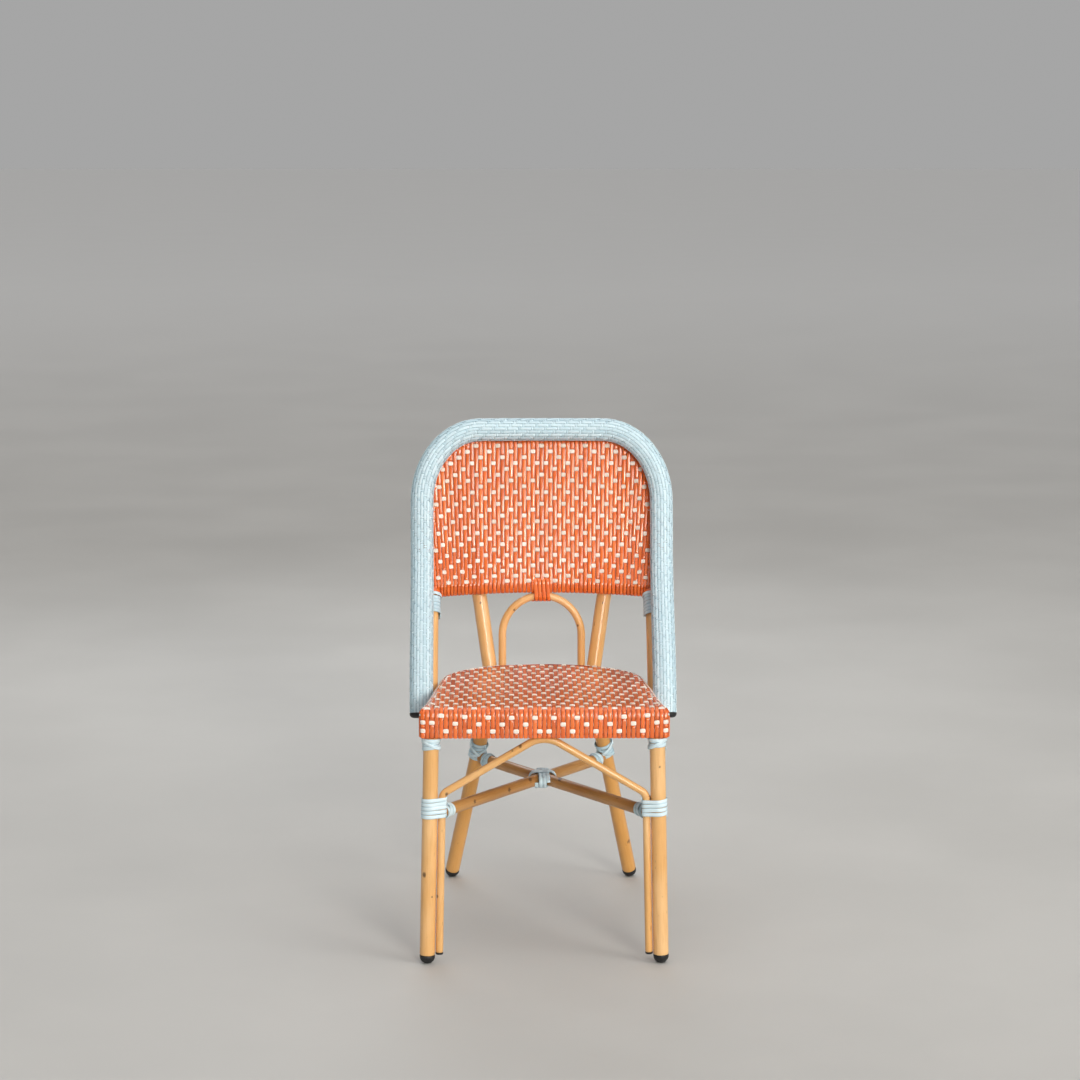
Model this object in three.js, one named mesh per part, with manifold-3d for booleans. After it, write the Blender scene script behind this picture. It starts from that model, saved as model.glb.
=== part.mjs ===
// Rattan bistro chair: a pole frame with a woven seat, a woven back and a thick hoop bound round it.
// Lengths are millimetres. The chair stands on its feet at z = 0, and the sitter faces -Y.
import Module from "manifold-3d";
import * as THREE from "three";
import { mergeVertices } from "three/addons/utils/BufferGeometryUtils.js";

const wasm = await Module();
wasm.setup();

// Clearance between pieces that touch
const fitGap = 0.3;

// Seat
const seatHeight = 450;
const seatFrontWidth = 420;
const seatRearWidth = 364;
const seatSideLength = 272;
const seatDepth = 400;
const seatCornerRadius = 30;
const apronHeight = 50;
const skinThickness = 2.7;
const skinEdgeRadius = 4;
const hemWidth = 22;
const ringWall = 1.6;
const crossbarDiameter = 16;
const crossbarWall = 1.4;
const seatRearRoundShares = { side: 0.25, rear: 0.27 };
const crossbarDepthShares = { front: 0.34, rear: 0.68 };

// Legs and feet
const legDiameter = 27;
const legWall = 1.6;
const frontLegInset = 18;
const frontLegSplay = 9;
const legCopeShare = 0.25;
const rearFootSpread = 169;
const rearFootReach = 180;
const kinkSpread = 90.5;
const kinkLift = 10;
const kinkRadius = 90;
const postSplay = 21.5;
const postBendDrop = 25;
const postBendRadius = 160;
const postTuckShare = 0.06;
const footCollar = 2.5;
const footFlat = 0.8;
const footStem = 20;

// Brace between the front legs, and its end caps
const braceDiameter = 13.5;
const braceWall = 1.3;
const braceEndHeight = 19.5;
const braceBendLift = 23;
const braceBendRadius = 18;
const bracePeakRadius = 50;
const braceCapHeight = 4;
const braceCapEdge = 1;
const braceCapStem = 10;

// Crossed stretchers
const stretcherDiameter = 21;
const stretcherWall = 1.5;
const stretcherHeight = 260;

// Back: the surface that the hoop, the frame and the weave follow
const panelLift = 135;
const hoopOverhang = 15;
const backSlopeShare = 0.242;
const backBulge = 12;
const backHeight = 444;
const sweepDrop = 63;
const sweepReach = 154;

// Hoop: an oval core tube in a woven cover
const hoopWidth = 42;
const hoopThickness = 31;
const hoopHalfSpan = 217;
const hoopCornerWidth = 105;
const hoopCornerHeight = 125;
const hoopCoreWall = 1.6;
const hoopEndRise = 1.5;
const plugHeight = 6;
const plugEdge = 3;
const plugStem = 18;

// Inner back frame, its lower rail and the arch below it
const frameDiameter = 20;
const frameWall = 1.5;
const frameInset = 19.5;
const frameTuck = 5;
const frameEndRise = 8;
const railDiameter = 16;
const railWall = 1.4;
const railBlendPower = 4;
const archDiameter = 13.5;
const archWall = 1.3;
const archPostGap = 4;
const archDrop = 4.5;
const archEndLift = 6;

// Flat strand of the lashings
const strandWidth = 6.8;
const strandThickness = 1.6;
const strandPitch = 7.5;
const railStrandPitch = 7.3;
const frontLashingLift = 15;
const rearLashingLift = 17;
const legTopLashingDrop = 4;
const endLashingStart = 9;
const cornerLashingDrop = 4;
const windingSlack = 1.1;

// Turns of each lashing, and facets of each form
const turns = { legTop: 2.5, leg: 4.2, pole: 2.6, corner: 3, crossing: 2.6, arch: 4 };
const facets = { leg: 12, thin: 10, ring: 8, hoop: 12, plug: 12, dome: 4, sheet: 10 };
const bends = { corner: 5, side: 6, tube: 4, seatRear: 8, arch: 8, rail: 10, edge: 2 };
const loopSides = 10;
const roundSides = 48;

// Places worked out from the sizes
const seatBottom = seatHeight - apronHeight;
const ringDiameter = (apronHeight - 2 * skinThickness - 3 * fitGap) / 2;
const ringInset = skinThickness + fitGap + ringDiameter / 2;
const upperRingHeight = seatHeight - ringInset;
const lowerRingHeight = upperRingHeight - ringDiameter - fitGap;
const legRadius = legDiameter / 2;
const braceRadius = braceDiameter / 2;
const frameRadius = frameDiameter / 2;
const poleRadius = stretcherDiameter / 2;
const archRadius = archDiameter / 2;
const frontLashingHeight = stretcherHeight + frontLashingLift;
const rearLashingHeight = stretcherHeight + rearLashingLift;
const braceBendHeight = frontLashingHeight + braceBendLift;
const sleeveRadius = frameRadius + fitGap + skinThickness;
const hemRadius = railDiameter / 2 + fitGap + skinThickness;
const cutReach = 2 * legDiameter;
const panelBottom = seatHeight + panelLift;
const railHeight = panelBottom + hemRadius;
const hoopTop = seatHeight + backHeight - hoopWidth / 2;
const hoopEnd = seatBottom + hoopEndRise;
const sweepTop = hoopTop - hoopCornerHeight - sweepDrop;

// The frame lies inside the hoop and behind it, so that the hoop rests on its woven sleeve
const reachAcross = hoopWidth / 2 + sleeveRadius + 2 * fitGap;
const reachBack = hoopThickness / 2 + sleeveRadius + 2 * fitGap;
const frameSetback = reachBack * Math.sqrt(1 - (frameInset / reachAcross) ** 2);
const railSetback = frameSetback - (sleeveRadius - hemRadius);

// Finishes
const finishes = {
  pole: { color: 0xdca768, roughness: 0.42, metalness: 0 },
  metal: { color: 0xb9bcc0, roughness: 0.45, metalness: 0.9 },
  plastic: { color: 0x17181b, roughness: 0.5, metalness: 0 },
  orangeWeave: { color: 0xe56d35, roughness: 0.4, metalness: 0 },
  blueWeave: { color: 0xa9d4de, roughness: 0.45, metalness: 0 },
};

const chair = new THREE.Group();

function addPiece(name, form, finish) {
  const geometry = form.isBufferGeometry ? form : geometryOf(form);
  const piece = new THREE.Mesh(geometry, new THREE.MeshStandardMaterial(finish));
  piece.name = name;
  chair.add(piece);
}

const point = (x = 0, y = 0, z = 0) => new THREE.Vector3(x, y, z);
const flatShare = (sides) => Math.cos(Math.PI / sides);
const mirrored = (stations) => stations.map((station) => point(-station.x, station.y, station.z));

// A route holds the stations where a tube has a ring of corners, and the way its section faces there.
class Route extends THREE.Curve {
  constructor(stations, facing) {
    super();
    this.stations = stations;
    this.facing = facing;
  }

  getSpacedPoints() {
    return this.stations;
  }

  tangentAt(index) {
    const here = this.stations[index];
    const tangent = point(0, 0, 0);
    if (index > 0) {
      tangent.add(here.clone().sub(this.stations[index - 1]).normalize());
    }
    if (index < this.stations.length - 1) {
      tangent.add(this.stations[index + 1].clone().sub(here).normalize());
    }
    return tangent.normalize();
  }

  computeFrenetFrames() {
    const tangents = this.stations.map((_, index) => this.tangentAt(index));
    const normals = tangents.map((tangent, index) => {
      const normal = typeof this.facing === "function" ? this.facing(index) : this.facing.clone();
      return normal.addScaledVector(tangent, -normal.dot(tangent)).normalize();
    });
    const binormals = tangents.map((tangent, index) => tangent.clone().cross(normals[index]));
    return { tangents, normals, binormals };
  }
}

// Section shapes: x points along the route's facing direction
function ovalPoints(semiX, semiY, sides) {
  const corners = [];
  for (let side = 0; side < sides; side += 1) {
    const angle = (2 * Math.PI * (side + 1 / 2)) / sides;
    corners.push(new THREE.Vector2(semiX * Math.cos(angle), semiY * Math.sin(angle)));
  }
  return corners;
}

function tubeSection(semiX, semiY, wall, sides) {
  const section = new THREE.Shape(ovalPoints(semiX, semiY, sides));
  if (wall > 0) {
    section.holes.push(new THREE.Path(ovalPoints(semiX - wall, semiY - wall, sides)));
  }
  return section;
}

function sweep(section, stations, facing) {
  const route = new Route(stations, facing);
  return new THREE.ExtrudeGeometry(section, { steps: stations.length - 1, extrudePath: route });
}

const roundTube = (radius, wall, sides, stations, facing) =>
  sweep(tubeSection(radius, radius, wall, sides), stations, facing);

// Corners of a bent tube, each rounded to a radius
function bentStations(corners, radii, steps) {
  const stations = [corners[0].clone()];
  for (let index = 1; index < corners.length - 1; index += 1) {
    const corner = corners[index];
    const back = corners[index - 1].clone().sub(corner).normalize();
    const ahead = corners[index + 1].clone().sub(corner).normalize();
    const halfAngle = back.angleTo(ahead) / 2;
    const bisector = back.clone().add(ahead).normalize();
    const radius = radii[index - 1];
    const centre = corner.clone().addScaledVector(bisector, radius / Math.sin(halfAngle));
    const start = corner.clone().addScaledVector(back, radius / Math.tan(halfAngle)).sub(centre);
    const swept = Math.PI - 2 * halfAngle;
    const turnAxis = back.clone().cross(ahead).normalize();
    for (let step = 0; step <= steps; step += 1) {
      const spoke = start.clone().applyAxisAngle(turnAxis, (-swept * step) / steps);
      stations.push(centre.clone().add(spoke));
    }
  }
  stations.push(corners.at(-1).clone());
  return stations;
}

// Joins and cuts of geometries and solids
function solidOf(geometry) {
  if (!geometry.isBufferGeometry) {
    return geometry;
  }
  const bare = new THREE.BufferGeometry();
  bare.setAttribute("position", geometry.getAttribute("position").clone());
  if (geometry.index) {
    bare.setIndex(geometry.index.clone());
  }
  const merged = mergeVertices(bare);
  const vertProperties = new Float32Array(merged.getAttribute("position").array);
  const triVerts = new Uint32Array(merged.index.array);
  return new wasm.Manifold(new wasm.Mesh({ numProp: 3, vertProperties, triVerts }));
}

function geometryOf(solid) {
  const mesh = solid.getMesh();
  const geometry = new THREE.BufferGeometry();
  geometry.setAttribute("position", new THREE.BufferAttribute(new Float32Array(mesh.vertProperties), 3));
  geometry.setIndex(new THREE.BufferAttribute(new Uint32Array(mesh.triVerts), 1));
  geometry.computeVertexNormals();
  return geometry;
}

function cut(form, ...cutters) {
  return cutters.reduce((rest, cutter) => rest.subtract(solidOf(cutter)), solidOf(form));
}

function join(...forms) {
  const [first, ...others] = forms.map(solidOf);
  return others.reduce((whole, other) => whole.add(other), first);
}

// Seat outline: half of it from the front's centre to the rear's centre, then the mirrored half
function seatOutline() {
  const frontCorner = point(seatFrontWidth / 2, 0, 0);
  const sideEnd = point(seatRearWidth / 2, seatSideLength, 0);
  const front = bentStations([point(0, 0, 0), frontCorner, sideEnd], [seatCornerRadius], bends.tube);
  const along = sideEnd.clone().sub(frontCorner).multiplyScalar(seatRearRoundShares.side);
  const rear = new THREE.CubicBezierCurve3(
    sideEnd,
    sideEnd.clone().add(along),
    point(seatRearWidth * seatRearRoundShares.rear, seatDepth, 0),
    point(0, seatDepth, 0),
  );
  const right = [...front, ...rear.getPoints(bends.seatRear).slice(1)];
  const left = mirrored(right.slice(1, -1)).reverse();
  return [...right, ...left];
}

function insetOutline(outline, inset) {
  return outline.map((corner, index) => {
    const before = outline.at(index - 1);
    const after = outline[(index + 1) % outline.length];
    const ahead = after.clone().sub(corner).normalize();
    const along = corner.clone().sub(before).normalize().add(ahead).normalize();
    return point(corner.x - along.y * inset, corner.y + along.x * inset, 0);
  });
}

const outline = seatOutline();

const outlineRight = outline.filter((corner) => corner.x >= 0);

// The seat's rear edge at a distance from the middle
function seatRearDepth(x) {
  const rear = outlineRight.filter((corner) => corner.y >= seatSideLength);
  const next = Math.max(1, rear.findIndex((corner) => corner.x <= Math.abs(x)));
  const wide = rear[next - 1];
  const narrow = rear[next];
  return THREE.MathUtils.mapLinear(Math.abs(x), wide.x, narrow.x, wide.y, narrow.y);
}

// Depth at which an upright pole behind the seat rests on the weave
function restBehind(x, radius) {
  const section = ovalPoints(radius, radius, roundSides);
  return Math.max(...section.map((corner) => seatRearDepth(x + corner.x) - corner.y)) + fitGap;
}

// Half the seat's width at a depth
function seatHalfWidth(depth) {
  const next = Math.max(1, outlineRight.findIndex((corner) => corner.y > depth));
  const low = outlineRight[next - 1];
  const high = outlineRight[next];
  return THREE.MathUtils.mapLinear(depth, low.y, high.y, low.x, high.x);
}

// Distance from the middle at which a section beside the seat rests on the weave
function restBeside(section, depth) {
  const reaches = section.map((corner) => seatHalfWidth(depth + corner.y) - corner.x);
  return Math.max(...reaches) + fitGap;
}

// Back surface
function sweepAt(z) {
  const share = THREE.MathUtils.clamp((sweepTop - z) / (sweepTop - hoopEnd), 0, 1);
  return (1 - Math.cos(Math.PI * share)) / 2;
}

function backDepth(x, z) {
  const forward = (backBulge + sweepReach * sweepAt(z)) * (x / hoopHalfSpan) ** 2;
  return seatDepth - hoopOverhang + (z - panelBottom) * backSlopeShare - forward;
}

function backSlopeAt(x, z) {
  return (backDepth(x, z + fitGap) - backDepth(x, z - fitGap)) / (2 * fitGap);
}

function backNormal(x, z) {
  return point(0, 1, -backSlopeAt(x, z)).normalize();
}

// A place a setback behind the surface, measured square to its slope
function onBack(x, z, setback) {
  return point(x, backDepth(x, z) + setback * Math.hypot(1, backSlopeAt(x, z)), z);
}

// Front view of the hoop, or of the frame inside it, from the left end over the top to the right end
function hoopFront(inset, drop, endHalf, endHeight) {
  const half = hoopHalfSpan - inset;
  const top = hoopTop - drop;
  const cornerWidth = hoopCornerWidth - inset;
  const cornerHeight = hoopCornerHeight - drop;
  const right = [];
  for (let step = 0; step <= bends.side; step += 1) {
    const z = THREE.MathUtils.lerp(endHeight, sweepTop, step / bends.side);
    right.push(new THREE.Vector2(THREE.MathUtils.lerp(endHalf, half, step / bends.side), z));
  }
  for (let step = 0; step <= bends.corner; step += 1) {
    const angle = ((Math.PI / 2) * step) / bends.corner;
    const x = half - cornerWidth * (1 - Math.cos(angle));
    right.push(new THREE.Vector2(x, top - cornerHeight * (1 - Math.sin(angle))));
  }
  right.push(new THREE.Vector2((half - cornerWidth) / 2, top));
  const left = right.map((place) => new THREE.Vector2(-place.x, place.y));
  return [...left, new THREE.Vector2(0, top), ...right.reverse()];
}

function drape(front, setbackAt) {
  return front.map((place) => onBack(place.x, place.y, setbackAt(place.y)));
}

// A leaning tube's level section is longer along the seat's side than the tube is thick
const backLean = Math.hypot(1, backSlopeShare);
const hoopSection = ovalPoints(hoopWidth / 2, (hoopThickness / 2) * backLean, facets.hoop);
const hoopEndHalf = restBeside(hoopSection, backDepth(hoopHalfSpan, hoopEnd));
const hoopPlaces = hoopFront(0, 0, hoopEndHalf, hoopEnd);
const hoopStations = drape(hoopPlaces, () => 0);

const frameEnd = seatBottom + frameEndRise;
const frameHalf = hoopHalfSpan - frameInset;
const frameDrop = frameInset + frameSetback * backSlopeShare;
const frameSetbackAt = (z) => frameSetback + frameTuck * sweepAt(z);
const frameSection = ovalPoints(frameRadius, frameRadius * backLean, facets.thin);
const frameEndHalf = restBeside(frameSection, onBack(frameHalf, frameEnd, frameSetbackAt(frameEnd)).y);
const framePlaces = hoopFront(frameInset, frameDrop, frameEndHalf, frameEnd);
const frameStations = drape(framePlaces, frameSetbackAt);

// Frames of a sweep that lies in the back surface
const facingOn = (places) => (index) => backNormal(places[index].x, places[index].y);

// Legs
const frontLegX = seatFrontWidth / 2 - frontLegInset;
const frontLegTop = point(frontLegX, frontLegInset, lowerRingHeight - ringDiameter * legCopeShare);
const footDome = legRadius;
const frontFootCentre = point(frontLegX + frontLegSplay, frontLegInset, footDome - footFlat);
const frontLegWay = frontLegTop.clone().sub(frontFootCentre).normalize();

const kinkHeight = seatBottom + kinkLift;
const kink = point(kinkSpread, restBehind(kinkSpread, legRadius), kinkHeight);
const rearFootCentre = point(rearFootSpread, seatDepth + rearFootReach, footDome - footFlat);
const rearLegWay = kink.clone().sub(rearFootCentre).normalize();
const postBendHeight = panelBottom - postBendDrop;
const postXAt = (z) => kinkSpread + (postSplay * (z - kinkHeight)) / (postBendHeight - kinkHeight);
const archHalfSpan = postXAt(seatHeight) - legRadius - archPostGap - archRadius;

// The post passes behind the hem of the weave, then meets the frame where their front views cross
const postBendX = postXAt(postBendHeight);
const hemRear = onBack(postBendX, railHeight, railSetback).y + hemRadius;
const postBend = point(postBendX, hemRear + legRadius - postBendDrop * postTuckShare, postBendHeight);
const postEnd = (() => {
  const misses = frameStations.map((station) => Math.abs(station.x - postXAt(station.z)));
  const upper = frameStations.map((station, index) => (station.z > sweepTop ? misses[index] : Infinity));
  return frameStations[upper.indexOf(Math.min(...upper))].clone();
})();
postEnd.y += legRadius - frameRadius + skinThickness;

const legStart = (centre, way) => centre.clone().addScaledVector(way, footCollar + fitGap);
const frontLegStations = [legStart(frontFootCentre, frontLegWay), frontLegTop];
const rearLegStations = bentStations(
  [legStart(rearFootCentre, rearLegWay), kink, postBend, postEnd],
  [kinkRadius, postBendRadius],
  bends.tube,
);

const sideways = point(1, 0, 0);
const upward = point(0, 0, 1);
const legTube = (stations, growth = 0) =>
  roundTube(legRadius + growth, growth > 0 ? 0 : legWall, facets.leg, stations, sideways);

// Seat rings: two bent tubes, each closing behind the sitter with a butt joint
function ringStations(height) {
  const ring = insetOutline(outline, ringInset).map((corner) => point(corner.x, corner.y, height));
  const rear = ring.findIndex((corner) => corner.y === Math.max(...ring.map((other) => other.y)));
  const ordered = [...ring.slice(rear), ...ring.slice(0, rear), ring[rear].clone()];
  ordered[0] = ordered[0].clone().add(point(-fitGap / 2, 0, 0));
  ordered[ordered.length - 1].x += fitGap / 2;
  return ordered;
}

function ringTube(height, growth = 0) {
  const radius = (ringDiameter / 2 + growth) / flatShare(facets.ring);
  return roundTube(radius, growth > 0 ? 0 : ringWall, facets.ring, ringStations(height), upward);
}

function seatRings() {
  addPiece("seat_ring_upper", ringTube(upperRingHeight), finishes.metal);
  addPiece("seat_ring_lower", ringTube(lowerRingHeight), finishes.metal);
}

function crossbar(name, depth) {
  const half = seatHalfWidth(depth) - ringInset;
  const ends = [point(-half, depth, upperRingHeight), point(half, depth, upperRingHeight)];
  const bar = roundTube(crossbarDiameter / 2, crossbarWall, facets.thin, ends, upward);
  addPiece(name, cut(bar, ringTube(upperRingHeight, fitGap)), finishes.metal);
}

// Woven seat: a tray over the rings, with a hem turned in below them
function block(inset, bottom, top, edge) {
  const corners = insetOutline(outline, inset + edge);
  const shape = new THREE.Shape(corners.map((corner) => new THREE.Vector2(corner.x, corner.y)));
  const options = { depth: top - bottom - 2 * edge, bevelEnabled: edge > 0 };
  Object.assign(options, { bevelSize: edge, bevelThickness: edge, bevelSegments: bends.edge });
  return new THREE.ExtrudeGeometry(shape, options).translate(0, 0, bottom + edge);
}

function seatWeave() {
  const outer = block(0, seatBottom, seatHeight, skinEdgeRadius);
  const inner = block(skinThickness, seatBottom + skinThickness, seatHeight - skinThickness, 0);
  const mouth = block(hemWidth, seatBottom - fitGap, seatBottom + 2 * skinThickness, 0);
  const legs = [frontLegStations, mirrored(frontLegStations)].map((stations) => legTube(stations, fitGap));
  addPiece("seat_weave", cut(outer, inner, mouth, ...legs), finishes.orangeWeave);
}

// Legs, coped on the ring above or on the back frame
function frontLeg(name, stations) {
  addPiece(name, cut(legTube(stations), ringTube(lowerRingHeight, fitGap)), finishes.pole);
}

const frameTube = (growth = 0) =>
  roundTube(
    frameRadius + growth,
    growth > 0 ? 0 : frameWall,
    facets.thin,
    frameStations,
    facingOn(framePlaces),
  );

function rearLeg(name, stations) {
  addPiece(name, cut(legTube(stations), frameTube(fitGap)), finishes.pole);
}

// Foot: a domed plug, flat where it stands
function foot(name, centre, way) {
  const stemRadius = (legRadius - legWall) * flatShare(facets.leg) - fitGap;
  const profile = [new THREE.Vector2(0, -footDome)];
  for (let step = 1; step <= facets.dome; step += 1) {
    const angle = ((Math.PI / 2) * step) / facets.dome;
    profile.push(new THREE.Vector2(footDome * Math.sin(angle), -footDome * Math.cos(angle)));
  }
  profile.push(new THREE.Vector2(footDome, footCollar));
  profile.push(new THREE.Vector2(stemRadius, footCollar));
  profile.push(new THREE.Vector2(stemRadius, footCollar + footStem));
  profile.push(new THREE.Vector2(0, footCollar + footStem));
  const turned = new THREE.LatheGeometry(profile, facets.plug);
  turned.applyQuaternion(new THREE.Quaternion().setFromUnitVectors(point(0, 1, 0), way));
  turned.translate(centre.x, centre.y, centre.z);
  const floor = new THREE.BoxGeometry(cutReach, cutReach, cutReach);
  floor.translate(centre.x, centre.y, -cutReach / 2);
  addPiece(name, cut(turned, floor), finishes.plastic);
}

// Front brace: one bent rod, up inside both front legs and over a peak below the seat
const braceStep = legRadius + braceRadius + fitGap;
const legAt = (start, way, z) => start.clone().addScaledVector(way, (z - start.z) / way.z);
const braceAt = (z) => legAt(frontFootCentre, frontLegWay, z).add(point(-braceStep, 0, 0));
const braceFoot = braceAt(braceEndHeight);
const braceStations = (() => {
  const bend = braceAt(braceBendHeight);
  const rise = seatBottom - fitGap - braceRadius - bend.z - bracePeakRadius;
  const steep = 1 - (bracePeakRadius / bend.x) ** 2;
  const peakRise = (rise + Math.sqrt(rise ** 2 - steep * (rise ** 2 - bracePeakRadius ** 2))) / steep;
  const peak = point(0, frontLegInset, bend.z + peakRise);
  const corners = [braceFoot, bend, peak, ...mirrored([bend, braceFoot])];
  return bentStations(corners, [braceBendRadius, bracePeakRadius, braceBendRadius], bends.tube);
})();

function frontBrace() {
  const rod = roundTube(braceRadius, braceWall, facets.thin, braceStations, point(0, 1, 0));
  addPiece("front_brace", rod, finishes.pole);
}

function braceCap(name, end, way) {
  const stemRadius = (braceRadius - braceWall) * flatShare(facets.thin) - fitGap;
  const rim = braceRadius;
  const profile = [
    new THREE.Vector2(0, -braceCapHeight),
    new THREE.Vector2(rim - braceCapEdge, -braceCapHeight),
    new THREE.Vector2(rim, braceCapEdge - braceCapHeight),
    new THREE.Vector2(rim, -fitGap),
    new THREE.Vector2(stemRadius, -fitGap),
    new THREE.Vector2(stemRadius, braceCapStem),
    new THREE.Vector2(0, braceCapStem),
  ];
  const cap = new THREE.LatheGeometry(profile, facets.plug);
  cap.applyQuaternion(new THREE.Quaternion().setFromUnitVectors(point(0, 1, 0), way));
  addPiece(name, cap.translate(end.x, end.y, end.z), finishes.plastic);
}

// Lashings: each is one flat strand wound round a pole, or round two poles side by side
function hullOf(places) {
  const sorted = [...places].sort((a, b) => a.x - b.x || a.y - b.y);
  const turnsLeft = (a, b, c) => (b.x - a.x) * (c.y - a.y) - (b.y - a.y) * (c.x - a.x) > Number.EPSILON;
  const chain = (ordered) => {
    const kept = [];
    for (const place of ordered) {
      while (kept.length > 1 && !turnsLeft(kept.at(-2), kept.at(-1), place)) {
        kept.pop();
      }
      kept.push(place);
    }
    return kept.slice(0, -1);
  };
  return [...chain(sorted), ...chain(sorted.reverse())];
}

// Loop round circles { x, y, radius }, clear of them by a growth on every chord
function loopRound(circles, growth) {
  const places = circles.flatMap((circle) => {
    const semi = (circle.radius + growth) / flatShare(loopSides);
    return ovalPoints(semi, semi, loopSides).map((corner) => corner.add(circle));
  });
  return hullOf(places);
}

// A place for a lashing: its middle, the way its turns climb, and the direction of local x
function placing(middle, climb, across) {
  const local = across.clone().addScaledVector(climb, -across.dot(climb)).normalize();
  return new THREE.Matrix4().makeBasis(local, climb.clone().cross(local), climb).setPosition(middle);
}

function lashing(name, place, circles, count, pitch, finish) {
  const loop = loopRound(circles, fitGap + strandThickness / 2);
  const steps = Math.round(count * loop.length);
  const stations = [];
  const facings = [];
  for (let step = 0; step <= steps; step += 1) {
    const corner = loop[step % loop.length];
    const before = loop.at((step % loop.length) - 1);
    const after = loop[(step + 1) % loop.length];
    const climb = pitch * (step / loop.length - count / 2);
    stations.push(point(corner.x, corner.y, climb).applyMatrix4(place));
    facings.push(point(after.y - before.y, before.x - after.x, 0).transformDirection(place));
  }
  const section = new THREE.Shape();
  section.moveTo(-strandThickness / 2, -strandWidth / 2);
  section.lineTo(strandThickness / 2, -strandWidth / 2);
  section.lineTo(strandThickness / 2, strandWidth / 2);
  section.lineTo(-strandThickness / 2, strandWidth / 2);
  addPiece(name, sweep(section, stations, (index) => facings[index].clone()), finish);
  const nextTurn = stations.slice(loop.length).map((station, index) => station.distanceTo(stations[index]));
  console.log(`${name}: least gap between turns ${(Math.min(...nextTurn) - strandWidth).toFixed(2)} mm`);
}

// Outer surface of a lashing's turns, as a cutter for what stops at it
function lashingBlock(place, circles, growth, reach) {
  const corners = loopRound(circles, growth);
  const options = { depth: 2 * reach, bevelEnabled: false };
  const prism = new THREE.ExtrudeGeometry(new THREE.Shape(corners), options);
  return prism.translate(0, 0, -reach).applyMatrix4(place);
}

const legCircle = { x: 0, y: 0, radius: legRadius };
const poleCircle = { x: 0, y: 0, radius: poleRadius };
const inward = point(-1, 0, 0);
const handed = (side, vector) => point(side * vector.x, vector.y, vector.z);

function frontLashingPlace(side) {
  const middle = legAt(frontFootCentre, frontLegWay, frontLashingHeight);
  return placing(handed(side, middle), handed(side, frontLegWay), handed(side, inward));
}

function rearLashingPlace(side) {
  const middle = legAt(rearFootCentre, rearLegWay, rearLashingHeight);
  return placing(handed(side, middle), handed(side, rearLegWay), handed(side, inward));
}

const legAndBrace = [legCircle, { x: braceStep, y: 0, radius: braceRadius + windingSlack }];
const lashingGrowth = strandThickness + 2 * fitGap;

// Stretchers: one long pole from corner to corner, and the other crossing in two coped halves
const frontJoint = legAt(frontFootCentre, frontLegWay, stretcherHeight);
const rearJoint = legAt(rearFootCentre, rearLegWay, stretcherHeight);
const crossing = (() => {
  const share = frontJoint.x / (frontJoint.x + rearJoint.x);
  return point(0, THREE.MathUtils.lerp(frontJoint.y, rearJoint.y, share), stretcherHeight);
})();
const crossAngle = Math.atan2(frontJoint.x + rearJoint.x, rearJoint.y - frontJoint.y);

const poleTube = (ends, growth = 0) =>
  roundTube(poleRadius + growth, growth > 0 ? 0 : stretcherWall, facets.thin, ends, upward);

function stretchers() {
  const blockAt = (place, circles) => lashingBlock(place, circles, lashingGrowth, cutReach);
  const frontBlocks = [-1, 1].map((side) => blockAt(frontLashingPlace(side), legAndBrace));
  const rearBlocks = [-1, 1].map((side) => blockAt(rearLashingPlace(side), [legCircle]));
  const longEnds = [handed(-1, frontJoint), rearJoint];
  const long = cut(poleTube(longEnds), frontBlocks[0], rearBlocks[1]);
  addPiece("stretcher_long", long, finishes.pole);
  const longCutter = poleTube(longEnds, fitGap);
  const front = cut(poleTube([frontJoint, crossing]), frontBlocks[1], longCutter);
  addPiece("stretcher_short_front", front, finishes.pole);
  const rear = cut(poleTube([crossing, handed(-1, rearJoint)]), rearBlocks[0], longCutter);
  addPiece("stretcher_short_rear", rear, finishes.pole);
}

// Lashings round the legs and the stretchers' ends
function legLashings(side, label) {
  const topMiddle = seatBottom - legTopLashingDrop - (turns.legTop * strandPitch) / 2;
  const legTop = legAt(frontFootCentre, frontLegWay, topMiddle);
  const topPlace = placing(handed(side, legTop), handed(side, frontLegWay), handed(side, inward));
  const blue = finishes.blueWeave;
  lashing(`leg_top_lashing_${label}`, topPlace, [legCircle], turns.legTop, strandPitch, blue);
  const frontPlace = frontLashingPlace(side);
  lashing(`front_lashing_${label}`, frontPlace, legAndBrace, turns.leg, strandPitch, blue);
  lashing(`rear_lashing_${label}`, rearLashingPlace(side), [legCircle], turns.leg, strandPitch, blue);
}

function poleLashing(name, joint, start) {
  const way = crossing.clone().sub(joint).normalize();
  const distance = start + (turns.pole * strandPitch) / 2;
  const place = placing(joint.clone().addScaledVector(way, distance), way, upward);
  lashing(name, place, [poleCircle], turns.pole, strandPitch, finishes.blueWeave);
}

function poleLashings(side, label) {
  const wrapDepth = legRadius + strandThickness + 2 * fitGap + strandWidth / 2;
  const frontStart = wrapDepth + braceDiameter + endLashingStart / 2;
  poleLashing(`front_pole_lashing_${label}`, handed(side, frontJoint), frontStart);
  poleLashing(`rear_pole_lashing_${label}`, handed(side, rearJoint), wrapDepth + endLashingStart);
}

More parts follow.
